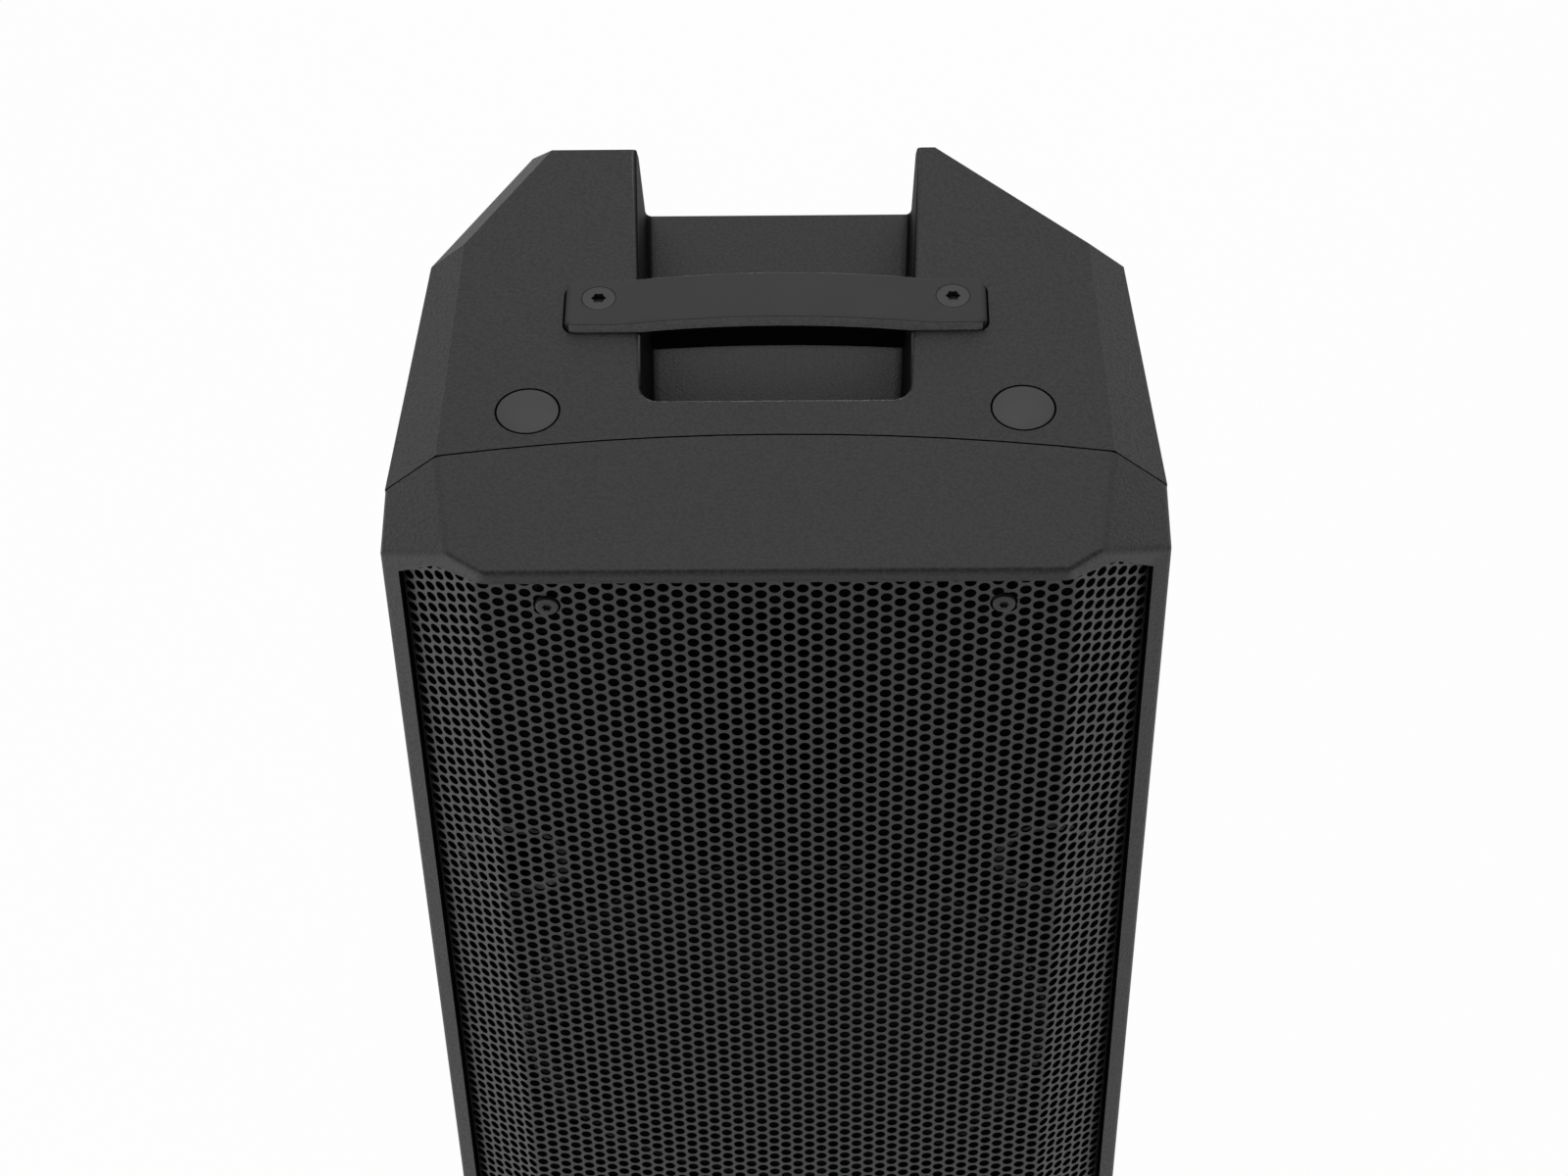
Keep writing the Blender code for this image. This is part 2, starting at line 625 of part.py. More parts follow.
def build_rear_shell():
    """Hollow rear moulding with the pocket, the amplifier's recess and every seat."""
    seam = seam_points(SEAT_GAP)
    bm = rear_solid(0, seam[:1] + seam + seam[-1:])
    soften(bm, SHELL_EDGE, lambda middle: middle.y > SEAM_Y + SEAM_BOW + SHELL_EDGE, segments=3)
    shell = add_piece("rear_shell", bm, "textured polypropylene")
    ahead = SEAM_Y - 2 * SHELL_WALL
    hollow = add_tool("rear_hollow", rear_solid(SHELL_WALL, [(-HALF_WIDTH, ahead), (HALF_WIDTH, ahead)]))
    cut(hollow, add_tool("pocket_tub", pocket_solid(SHELL_WALL, 0)))
    cut(hollow, add_tool("recess_tub", recess_solid(SHELL_WALL)))
    for side, name in ((-1, "left"), (1, "right")):
        boss = disc(STRAP_BOSS_RADIUS, TOP_Z - STRAP_SCREW_LENGTH - SHELL_WALL, TOP_Z, 16)
        bmesh.ops.translate(boss, verts=boss.verts, vec=(side * STRAP_SCREW_SPACING / 2, STRAP_SCREW_Y, 0))
        cut(hollow, add_tool("strap_boss_" + name, boss))
    cut(shell, hollow)
    cut(shell, add_tool("pocket", pocket_solid(0, POCKET_RIM)))
    cut(shell, add_tool("amp_recess", recess_solid(0)))
    half = PANEL_WIDTH / 2 - PANEL_REST
    window = box((PANEL_X - half, RECESS_FLOOR_Y - 3 * SHELL_WALL, PANEL_LOW + PANEL_REST),
                 (PANEL_X + half, REAR_Y, PANEL_TOP - PANEL_REST))
    cut(shell, add_tool("amp_window", window))
    seat = prism(rounded_rectangle(STRAP_LENGTH + 2 * STRAP_RECESS_GAP, STRAP_WIDTH + 2 * STRAP_RECESS_GAP,
                                   STRAP_CORNER + STRAP_RECESS_GAP, 3),
                 TOP_Z - strap_seat_depth(), TOP_Z + SHELL_WALL)
    cut(shell, add_tool("strap_seat", seat, Matrix.Translation((0, STRAP_Y, 0))))
    for side, name in ((-1, "left"), (1, "right")):
        hole = disc(STRAP_SCREW_RADIUS + SEAT_GAP, TOP_Z - STRAP_SCREW_LENGTH, TOP_Z + SHELL_WALL, 16)
        place = Matrix.Translation((side * STRAP_SCREW_SPACING / 2, STRAP_SCREW_Y, 0))
        cut(shell, add_tool("strap_hole_" + name, hole, place))
        pad = disc(PAD_RADIUS + PAD_RIM_GAP, TOP_Z - PAD_SEAT_DEPTH, TOP_Z + SHELL_WALL, PAD_STEPS)
        cut(shell, add_tool("pad_seat_" + name, pad, Matrix.Translation((side * PAD_X, PAD_Y, 0))))
    for name, (x, y) in base_foot_places().items():
        seat = disc(FOOT_RADIUS + SEAT_GAP, BASE_Z - SHELL_WALL, BASE_Z + FOOT_SEAT_DEPTH)
        cut(shell, add_tool(name + "_seat", seat, Matrix.Translation((x, y, 0))))
    hole = disc(POLE_HOLE_RADIUS, BASE_Z - SHELL_WALL, BASE_Z + 2 * SHELL_WALL)
    cut(shell, add_tool("pole_hole", hole, Matrix.Translation((0, POLE_Y, 0))))


def grille_y(x):
    """Front of the grille sheet at a distance from the middle plane."""
    bowed = min(abs(x), GRILLE_BEND_X)
    wing = max(0.0, abs(x) - GRILLE_BEND_X)
    bow = GRILLE_BOW * (bowed / GRILLE_BEND_X) ** 2
    return FRONT_Y + GRILLE_SETBACK + bow + wing * math.tan(WING_ANGLE)


def grille_screw_places():
    """The four grille screws, near the top and bottom edges."""
    high, low = TOP_Z - GRILLE_SCREW_INSET, BASE_Z + GRILLE_SCREW_INSET
    return {"grille_screw_top_left": (-GRILLE_SCREW_X, high),
            "grille_screw_top_right": (GRILLE_SCREW_X, high),
            "grille_screw_base_left": (-GRILLE_SCREW_X, low),
            "grille_screw_base_right": (GRILLE_SCREW_X, low)}


def opening_planes(gap):
    """The sloping lip undersides and the corner cuts of the grille's opening, moved inwards by a gap."""
    planes = []
    for up in (1, -1):
        normal = Vector((0, math.sin(LIP_SLOPE), up * math.cos(LIP_SLOPE)))
        lip = Vector((0, FRONT_Y, MIDDLE_Z + up * (CABINET_HEIGHT / 2 - LIP_HEIGHT)))
        planes.append((lip - normal * gap, normal))
        for side in (1, -1):
            normal = Vector((side, 0, up)).normalized()
            height = MIDDLE_Z + up * (CABINET_HEIGHT / 2 - OPENING_CORNER_DROP)
            planes.append((Vector((side * OPENING_HALF_WIDTH, 0, height)) - normal * gap, normal))
    return planes


def build_front_baffle():
    """Bezel, rails and baffle panel in one moulding."""
    outline = [(-HALF_WIDTH, FRONT_Y + WING_SETBACK), (-LIP_HALF_WIDTH, FRONT_Y), (LIP_HALF_WIDTH, FRONT_Y),
               (HALF_WIDTH, FRONT_Y + WING_SETBACK), (HALF_WIDTH, SEAM_Y)]
    outline += reversed(seam_points(0))
    outline.append((-HALF_WIDTH, SEAM_Y))
    bm = prism(outline, BASE_Z, TOP_Z)
    for point, normal in chamfer_planes(CHAMFER_SPLAY_FRONT, -1, 0):
        slice_off(bm, point, normal)
    soften(bm, FRAME_EDGE, lambda middle: middle.y < SEAM_Y - FRAME_EDGE, segments=3)
    baffle = add_piece("front_baffle", bm, "textured polypropylene")

    inner = HALF_WIDTH - FRAME_WALL
    back = BAFFLE_Y + BAFFLE_THICKNESS
    bm = box((-inner, back, BASE_Z + FRAME_WALL), (inner, SEAM_Y + BEYOND, TOP_Z - FRAME_WALL))
    for point, normal in chamfer_planes(CHAMFER_SPLAY_FRONT, -1, FRAME_WALL):
        slice_off(bm, point, normal)
    cut(baffle, add_tool("baffle_rear_hollow", bm))

    bm = box((-OPENING_HALF_WIDTH, FRONT_Y - LIP_HEIGHT, BASE_Z), (OPENING_HALF_WIDTH, BAFFLE_Y, TOP_Z))
    for point, normal in opening_planes(0):
        slice_off(bm, point, normal)
    cut(baffle, add_tool("grille_opening", bm))

    through = BAFFLE_THICKNESS * 2
    hole = disc(BASKET_MOUTH_RADIUS + BASKET_SHEET + RUNNING_GAP, -through, through, DRIVER_STEPS)
    cut(baffle, add_tool("woofer_hole", hole, facing_front(0, BAFFLE_Y, WOOFER_Z)))
    hole = disc(HORN_MOUTH_RADIUS + HORN_WALL + RUNNING_GAP, -through, through, HORN_STEPS)
    cut(baffle, add_tool("horn_hole", hole, facing_front(0, BAFFLE_Y, HORN_Z)))
    for side, name in ((-1, "left"), (1, "right")):
        hole = disc(PORT_RADIUS + PORT_WALL + RUNNING_GAP, -through, through)
        cut(baffle, add_tool("port_hole_" + name, hole, facing_front(side * PORT_X, BAFFLE_Y, PORT_Z)))
    for name, (x, z) in grille_screw_places().items():
        near = abs(x) - GRILLE_POST_RADIUS
        length = BAFFLE_Y - grille_y(near) - GRILLE_THICKNESS - SEAT_GAP
        slope = GRILLE_BOW * ((abs(x) + GRILLE_POST_RADIUS) ** 2 - near ** 2) / GRILLE_BEND_X ** 2
        tip = length - slope
        bore = GRILLE_SCREW_RADIUS + SEAT_GAP
        root = -BAFFLE_THICKNESS / 2
        end = tip - GRILLE_SCREW_LENGTH
        post = turned([(0, root), (GRILLE_POST_RADIUS, root), (GRILLE_POST_RADIUS, tip),
                       (bore, tip), (bore, end), (0, end)], 12)
        weld(baffle, add_tool(name + "_post", post, facing_front(x, BAFFLE_Y, z)))


def grille_columns():
    """The x of every column border, from the left edge to the right edge."""
    wing = (GRILLE_HALF_WIDTH - GRILLE_BEND_X) / GRILLE_WING_COLUMNS
    middle = 2 * GRILLE_BEND_X / GRILLE_COLUMNS
    borders = [-GRILLE_HALF_WIDTH + wing * step for step in range(GRILLE_WING_COLUMNS)]
    borders += [-GRILLE_BEND_X + middle * step for step in range(GRILLE_COLUMNS + 1)]
    borders += [GRILLE_BEND_X + wing * (step + 1) for step in range(GRILLE_WING_COLUMNS)]
    return borders


def build_grille():
    """Bent sheet whose openings are six-sided and staggered column by column."""
    bm = bmesh.new()
    borders = grille_columns()
    heights = [GRILLE_LOW + GRILLE_ROW * step / 2 for step in range(2 * GRILLE_ROWS + 2)]
    grid = [[bm.verts.new((x, grille_y(x), z)) for z in heights] for x in borders]
    cells = []
    middle_column = GRILLE_WING_COLUMNS + GRILLE_COLUMNS // 2
    for column in range(len(borders) - 1):
        left, right = grid[column], grid[column + 1]
        odd = (column - middle_column) % 2
        edge_rows = (0, 1) if odd else (2 * GRILLE_ROWS, 2 * GRILLE_ROWS + 1)
        bm.faces.new((left[edge_rows[0]], right[edge_rows[0]], right[edge_rows[1]], left[edge_rows[1]]))
        for row in range(GRILLE_ROWS):
            low = 2 * row + odd
            cells.append(bm.faces.new((left[low], right[low], right[low + 1], right[low + 2],
                                       left[low + 2], left[low + 1])))
    screws = list(grille_screw_places().values())
    opened = []
    for cell in cells:
        centre = cell.calc_center_median()
        half_width = abs(cell.verts[1].co.x - cell.verts[0].co.x) / 2
        half_height = GRILLE_ROW / 2
        if any(abs(centre.x - x) < half_width + GRILLE_HEAD_RADIUS and
               abs(centre.z - z) < half_height + GRILLE_HEAD_RADIUS for x, z in screws):
            continue
        bmesh.ops.inset_region(bm, faces=[cell], thickness=GRILLE_WEB / 4)
        corners = sorted(cell.verts, key=lambda v: math.atan2(v.co.z - centre.z, v.co.x - centre.x))
        for vertex, sixth in zip(corners, (-2, -1, 0, 1, 2, 3)):
            turn = sixth * math.pi / 3
            vertex.co.x = centre.x + (half_width - GRILLE_WEB / 2) * math.cos(turn)
            vertex.co.z = centre.z + (half_height - GRILLE_WEB / 2) * math.sin(turn) / math.sin(math.pi / 3)
            vertex.co.y = grille_y(vertex.co.x)
        opened.append(cell)
    bmesh.ops.delete(bm, geom=opened, context="FACES")
    trim_grille_corners(bm)
    bmesh.ops.recalc_face_normals(bm, faces=bm.faces)
    if sum(face.normal.y * face.calc_area() for face in bm.faces) > 0:
        bmesh.ops.reverse_faces(bm, faces=bm.faces)
    grille = add_piece("grille", bm, "powder-coated steel")
    sheet = grille.modifiers.new("sheet", "SOLIDIFY")
    sheet.thickness = GRILLE_THICKNESS
    sheet.offset = -1
    for name, (x, z) in grille_screw_places().items():
        hole = disc(GRILLE_SCREW_RADIUS + SEAT_GAP, 0, BEYOND, 12)
        cut(grille, add_tool(name + "_hole", hole, facing_front(x, BAFFLE_Y, z)))


def trim_grille_corners(bm):
    """Follows the lip undersides and the cut corners of the opening."""
    for point, normal in opening_planes(GRILLE_EDGE_GAP):
        everything = bm.verts[:] + bm.edges[:] + bm.faces[:]
        bmesh.ops.bisect_plane(bm, geom=everything, plane_co=point, plane_no=normal, clear_outer=True)


def build_grille_screws():
    """Pan-head screws through the grille into the posts."""
    for name, (x, z) in grille_screw_places().items():
        near = abs(x) - GRILLE_HEAD_RADIUS
        reach = BAFFLE_Y - grille_y(near) + SEAT_GAP
        head, shank = GRILLE_HEAD_RADIUS, GRILLE_SCREW_RADIUS
        tip = reach - GRILLE_SCREW_LENGTH + GRILLE_HEAD_HEIGHT
        top = reach + GRILLE_HEAD_HEIGHT
        bm = turned([(0, tip), (shank, tip), (shank, reach), (head, reach),
                     (head, reach + GRILLE_HEAD_HEIGHT * 0.4), (head * 0.7, top), (0, top)], 12)
        add_piece(name, bm, "black steel screw", facing_front(x, BAFFLE_Y, z))


def strap_seat_depth():
    """How deep the strap's ends sit in the cabinet's top."""
    return STRAP_THICKNESS - STRAP_PROUD + SEAT_GAP


def tighten_far_edge(bm):
    """Draws the rolled upper edge in at the rear of the strap, and less and less round its corners."""
    reach = Vector((STRAP_LENGTH / 2 - STRAP_CORNER, STRAP_WIDTH / 2 - STRAP_CORNER))
    top = TOP_Z + STRAP_PROUD
    for vertex in bm.verts:
        place = vertex.co.xy
        core = Vector((max(-reach.x, min(reach.x, place.x)), max(-reach.y, min(reach.y, place.y))))
        out = place - core
        if out.y <= 0 or vertex.co.z < top - STRAP_EDGE - FINE_EDGE:
            continue
        share = 1 - (1 - STRAP_FAR_EDGE / STRAP_EDGE) * (out.y / out.length) ** 2
        inset = (STRAP_CORNER - out.length) * share
        vertex.co.xy = core + out.normalized() * (STRAP_CORNER - inset)
        vertex.co.z = top - (top - vertex.co.z) * share


def build_handle():
    """Strap handle, arched over the pocket, and its two countersunk screws."""
    outline = rounded_rectangle(STRAP_LENGTH, STRAP_WIDTH, STRAP_CORNER, 3)
    bm = prism(outline, TOP_Z + STRAP_PROUD - STRAP_THICKNESS, TOP_Z + STRAP_PROUD)
    flat = STRAP_SCREW_SPACING / 2 - STRAP_HEAD_RADIUS - STRAP_EDGE
    for step in range(-5, 6):
        everything = bm.verts[:] + bm.edges[:] + bm.faces[:]
        bmesh.ops.bisect_plane(bm, geom=everything, plane_co=(flat * step / 5, 0, 0), plane_no=(1, 0, 0))
    soften(bm, STRAP_EDGE, lambda middle: True, sharp=math.radians(60), segments=3)
    tighten_far_edge(bm)
    for vertex in bm.verts:
        share = min(1.0, abs(vertex.co.x) / flat)
        vertex.co.z += STRAP_ARCH * (1 - share ** 2)
    place = Matrix.Translation((0, STRAP_Y, 0))
    strap = add_piece("handle_strap", bm, "black rubber", place, smooth=True)
    top = TOP_Z + STRAP_PROUD
    head, shank = STRAP_HEAD_RADIUS, STRAP_SCREW_RADIUS
    for side, name in ((-1, "left"), (1, "right")):
        place = Matrix.Translation((side * STRAP_SCREW_SPACING / 2, STRAP_SCREW_Y, 0))
        sink = top - STRAP_HEAD_HEIGHT
        room = SEAT_GAP
        hole = turned([(0, TOP_Z - STRAP_SCREW_LENGTH), (shank + room, TOP_Z - STRAP_SCREW_LENGTH),
                       (shank + room, sink), (head + room, top - room), (head + room, top + SHELL_WALL),
                       (0, top + SHELL_WALL)], 16)
        cut(strap, add_tool("strap_countersink_" + name, hole, place))
        tip = TOP_Z - STRAP_SCREW_LENGTH + 2 * SEAT_GAP
        screw = turned([(0, tip), (shank, tip), (shank, sink + room), (head, top - room),
                        (head, top - room + FINE_EDGE), (0, top - room + FINE_EDGE)], 16)
        piece = add_piece("handle_screw_" + name, screw, "black steel screw", place)
        hexagon = disc(STRAP_HEX_RADIUS, top - STRAP_HEX_DEPTH, top + SHELL_WALL, 6)
        cut(piece, add_tool("hex_socket_" + name, hexagon, place))


def build_pads_and_feet():
    """Domed rubber pads on the top, rubber feet under the base and the stand socket."""
    for side, name in ((-1, "left"), (1, "right")):
        seat = TOP_Z - PAD_SEAT_DEPTH + SEAT_GAP
        bm = turned([(0, seat), (PAD_RADIUS, seat), (PAD_RADIUS, TOP_Z),
                     (PAD_RADIUS * 0.93, TOP_Z + PAD_DOME * 0.45),
                     (PAD_RADIUS * 0.6, TOP_Z + PAD_DOME * 0.85), (0, TOP_Z + PAD_DOME)])
        place = Matrix.Translation((side * PAD_X, PAD_Y, 0))
        add_piece("top_pad_" + name, bm, "black rubber", place, smooth=True)
    for name, (x, y) in base_foot_places().items():
        seat = BASE_Z + FOOT_SEAT_DEPTH - SEAT_GAP
        bm = turned([(0, 0), (FOOT_RADIUS * 0.82, 0), (FOOT_RADIUS * 0.9, FOOT_HEIGHT * 0.2),
                     (FOOT_RADIUS, seat), (0, seat)], 16)
        add_piece(name, bm, "black rubber", Matrix.Translation((x, y, 0)), smooth=True)
    under = BASE_Z - SEAT_GAP
    outer = POLE_RADIUS + POLE_CUP_WALL
    lip = under - POLE_FLANGE_THICKNESS
    end = under + POLE_CUP_DEPTH
    bm = turned([(0, end), (POLE_RADIUS, end), (POLE_RADIUS, lip), (POLE_FLANGE_RADIUS, lip),
                 (POLE_FLANGE_RADIUS, under), (outer, under), (outer, end + POLE_CUP_WALL),
                 (0, end + POLE_CUP_WALL)])
    add_piece("pole_cup", bm, "cast aluminium", Matrix.Translation((0, POLE_Y, 0)))


def basket_profile():
    """Pressed basket: flange, cone, spider shelf and rear ring, as (radius, height)."""
    sheet = BASKET_SHEET
    mouth, shelf, neck = BASKET_MOUTH_RADIUS, SPIDER_SHELF_RADIUS, BASKET_NECK_RADIUS
    outer = [(FLANGE_RADIUS, SEAT_GAP), (mouth + sheet, SEAT_GAP), (mouth + sheet, -BAFFLE_THICKNESS),
             (shelf + sheet, -SPIDER_SHELF_DEPTH - sheet), (neck + sheet, -SPIDER_SHELF_DEPTH - sheet),
             (neck + sheet, -BASKET_DEPTH), (BASKET_BORE_RADIUS, -BASKET_DEPTH)]
    inner = [(BASKET_BORE_RADIUS, -BASKET_DEPTH + sheet), (neck, -BASKET_DEPTH + sheet),
             (neck, -SPIDER_SHELF_DEPTH), (shelf, -SPIDER_SHELF_DEPTH), (mouth, -BAFFLE_THICKNESS + sheet),
             (mouth, FLANGE_THICKNESS + SEAT_GAP), (FLANGE_RADIUS, FLANGE_THICKNESS + SEAT_GAP)]
    return outer + inner


def build_woofer():
    """Basket, magnet system and the moving cone, each a turned piece on one axis."""
    place = facing_front(0, BAFFLE_Y, WOOFER_Z)
    basket = add_piece("woofer_basket", turned(basket_profile(), DRIVER_STEPS), "painted steel", place)
    for index in range(BASKET_WINDOWS):
        angle = 2 * math.pi * (index + 0.5) / BASKET_WINDOWS
        middle = (BASKET_MOUTH_RADIUS + SPIDER_SHELF_RADIUS) / 2
        depth = (BAFFLE_THICKNESS + SPIDER_SHELF_DEPTH) / 2
        length = (BASKET_MOUTH_RADIUS - SPIDER_SHELF_RADIUS) / 3
        bm = box((-length, -WINDOW_HALF_WIDTH, -BASKET_DEPTH / 3),
                 (length, WINDOW_HALF_WIDTH, BASKET_DEPTH / 3))
        turn = Matrix.Rotation(angle, 4, "Z") @ Matrix.Translation((middle, 0, -depth))
        cut(basket, add_tool("basket_window_%d" % index, bm, place @ turn))

    top_front = -BASKET_DEPTH - SEAT_GAP
    coil_in, coil_out = COIL_RADIUS, COIL_RADIUS + COIL_WALL
    top_back = top_front - TOP_PLATE_THICKNESS
    ring = coil_out + MAGNET_GAP
    bm = turned([(ring, top_back), (TOP_PLATE_RADIUS, top_back), (TOP_PLATE_RADIUS, top_front),
                 (ring, top_front)], MAGNET_STEPS)
    add_piece("woofer_top_plate", bm, "bare steel", place)
    magnet_front = top_back - SEAT_GAP
    magnet_back = magnet_front - MAGNET_THICKNESS
    bm = turned([(MAGNET_BORE_RADIUS, magnet_back), (MAGNET_RADIUS, magnet_back),
                 (MAGNET_RADIUS, magnet_front), (MAGNET_BORE_RADIUS, magnet_front)], MAGNET_STEPS)
    add_piece("woofer_magnet", bm, "ferrite", place)
    plate_front = magnet_back - SEAT_GAP
    plate_back = plate_front - BACK_PLATE_THICKNESS
    pole = coil_in - MAGNET_GAP
    bm = turned([(POLE_VENT_RADIUS, plate_back), (BACK_PLATE_RADIUS, plate_back),
                 (BACK_PLATE_RADIUS, plate_front), (pole, plate_front), (pole, top_front),
                 (POLE_VENT_RADIUS, top_front)], MAGNET_STEPS)
    add_piece("woofer_back_plate", bm, "bare steel", place)

    neck = coil_out + SEAT_GAP
    neck_height = CONE_FRONT - CONE_DEPTH
    slope = CONE_DEPTH / (CONE_RADIUS - neck)
    bow = CONE_SHEET * 3
    half = (CONE_RADIUS + neck) / 2
    half_height = (CONE_FRONT + neck_height) / 2 - bow
    front = [(neck, neck_height), (half, half_height), (CONE_RADIUS, CONE_FRONT)]
    back = [(radius, height - CONE_SHEET * math.hypot(1, slope)) for radius, height in reversed(front)]
    add_piece("woofer_cone", turned(back + front, DRIVER_STEPS), "coated paper", place, smooth=True)
    add_piece("woofer_dust_cap", dust_cap(front), "coated paper", place, smooth=True)
    coil_front = neck_height - CONE_SHEET
    coil_back = coil_front - COIL_LENGTH
    bm = turned([(coil_in, coil_back), (coil_out, coil_back), (coil_out, coil_front),
                 (coil_in, coil_front)], MAGNET_STEPS)
    add_piece("woofer_voice_coil", bm, "copper winding", place)
    bm = turned(surround_profile(), DRIVER_STEPS)
    add_piece("woofer_surround", bm, "coated cloth", place, smooth=True)
    bm = turned(spider_profile(neck), MAGNET_STEPS)
    add_piece("woofer_spider", bm, "resin cloth", place, smooth=True)


def dust_cap(cone_front):
    """Shallow dome whose rim rests on the cone."""
    (low_r, low_h), (high_r, high_h) = cone_front[0], cone_front[1]
    rim = low_h + (DUST_CAP_RADIUS - low_r) * (high_h - low_h) / (high_r - low_r)
    rim += SEAT_GAP * 2
    crown = []
    for step in range(4):
        angle = step / 3 * math.pi / 2
        crown.append((DUST_CAP_RADIUS * math.sin(angle), rim + DUST_CAP_HEIGHT * math.cos(angle)))
    inner = [(radius * (1 - CONE_SHEET / DUST_CAP_RADIUS), height - CONE_SHEET) for radius, height in crown]
    inner[-1] = (DUST_CAP_RADIUS - CONE_SHEET, rim)
    return turned(crown + list(reversed(inner)), DRIVER_STEPS)


def surround_profile():
    """Double half-roll between the cone's edge and the basket's flange."""
    lip_height = FLANGE_THICKNESS + 2 * SEAT_GAP
    inner_end = CONE_RADIUS + SEAT_GAP
    outer_end = BASKET_MOUTH_RADIUS + SURROUND_LIP
    start = CONE_RADIUS - SURROUND_LIP / 3
    glue = CONE_FRONT + SEAT_GAP
    rolls = []
    for step in range(7):
        share = step / 6
        radius = inner_end + (BASKET_MOUTH_RADIUS - inner_end) * share
        level = glue + (lip_height - glue) * share
        rolls.append((radius, level + SURROUND_ROLL * abs(math.sin(2 * math.pi * share))))
    under = [(start, glue)] + rolls + [(outer_end, lip_height)]
    over = [(radius, height + SURROUND_SHEET) for radius, height in reversed(under)]
    return under + over


def spider_profile(neck):
    """Corrugated ring between the coil and the basket's shelf."""
    shelf = -SPIDER_SHELF_DEPTH + SEAT_GAP
    outer_end = SPIDER_SHELF_RADIUS - SPIDER_SHELF_WIDTH / 4
    inner_lip = BASKET_NECK_RADIUS - SPIDER_SHELF_WIDTH / 4
    under = []
    for step in range(2 * SPIDER_WAVES + 1):
        share = step / (2 * SPIDER_WAVES)
        radius = neck + (inner_lip - neck) * share
        under.append((radius, shelf - SPIDER_WAVE * (step % 2)))
    under.append((outer_end, shelf))
    over = [(radius, height + SPIDER_SHEET) for radius, height in reversed(under)]
    return under + over


def horn_ring(share, grow):
    """Round cross-section of the horn between the throat and the mouth."""
    radius = THROAT_RADIUS + (HORN_MOUTH_RADIUS - THROAT_RADIUS) * share ** 1.5 + grow
    steps = [2 * math.pi * step / HORN_STEPS for step in range(HORN_STEPS)]
    return [(radius * math.cos(angle), radius * math.sin(angle)) for angle in steps]


def horn_flange_ring():
    """Rounded rectangle with as many points as the horn's round sections."""
    corner_steps = HORN_STEPS // 4 - 1
    outline = rounded_rectangle(HORN_FLANGE_WIDTH, HORN_FLANGE_HEIGHT, HORN_FLANGE_CORNER, corner_steps)
    middle = (HORN_STEPS // 4) // 2
    return outline[-middle:] + outline[:-middle]


def build_horn():
    """Flared waveguide with its mounting flange, and the compression driver behind it."""
    place = facing_front(0, BAFFLE_Y, HORN_Z)
    front = SEAT_GAP + HORN_FLANGE_THICKNESS
    sections = []
    for index in range(HORN_RINGS + 1):
        share = index / HORN_RINGS
        sections.append((horn_ring(share, 0), -HORN_DEPTH + (HORN_DEPTH + front) * share))
    turned_flange = horn_flange_ring()
    sections.append((turned_flange, front))
    sections.append((turned_flange, SEAT_GAP))
    sections.append((horn_ring(1, HORN_WALL), SEAT_GAP))
    for index in reversed(range(HORN_RINGS)):
        share = index / HORN_RINGS
        sections.append((horn_ring(share, HORN_WALL), -HORN_DEPTH + HORN_DEPTH * share))
    bm = bmesh.new()
    rings = [[bm.verts.new((x, y, height)) for x, y in ring] for ring, height in sections]
    for ring, following in zip(rings, rings[1:] + rings[:1]):
        for index in range(HORN_STEPS):
            after = (index + 1) % HORN_STEPS
            bm.faces.new((ring[index], ring[after], following[after], following[index]))
    add_piece("horn_waveguide", bm, "moulded plastic", place, smooth=True)

    seat = -HORN_DEPTH - SEAT_GAP
    flange_back = seat - DRIVER_FLANGE_THICKNESS
    body_back = flange_back - DRIVER_LENGTH
    bore_end = seat - DRIVER_FLANGE_THICKNESS * 2
    bm = turned([(0, body_back), (DRIVER_RADIUS, body_back), (DRIVER_RADIUS, flange_back),
                 (DRIVER_FLANGE_RADIUS, flange_back), (DRIVER_FLANGE_RADIUS, seat), (THROAT_RADIUS, seat),
                 (THROAT_RADIUS, bore_end), (0, bore_end)])
    add_piece("compression_driver", bm, "bare steel", place)
    cover = body_back - SEAT_GAP
    radius = DRIVER_RADIUS * 0.95
    bm = turned([(0, cover - DRIVER_COVER_LENGTH), (radius * 0.8, cover - DRIVER_COVER_LENGTH),
                 (radius, cover - DRIVER_COVER_LENGTH * 0.6), (radius, cover), (0, cover)])
    add_piece("driver_cover", bm, "moulded plastic", place)


def build_ports():
    """Two flared bass-reflex tubes."""
    for side, name in ((-1, "left"), (1, "right")):
        front = SEAT_GAP + PORT_FLANGE_THICKNESS
        outer = PORT_RADIUS + PORT_WALL
        bm = turned([(PORT_RADIUS, -PORT_LENGTH), (outer, -PORT_LENGTH), (outer, SEAT_GAP),
                     (PORT_FLANGE_RADIUS, SEAT_GAP), (PORT_FLANGE_RADIUS, front - PORT_WALL / 2),
                     (PORT_RADIUS + PORT_WALL, front), (PORT_RADIUS, front - PORT_FLANGE_THICKNESS)])
        place = facing_front(side * PORT_X, BAFFLE_Y, PORT_Z)
        add_piece("bass_port_" + name, bm, "moulded plastic", place, smooth=True)


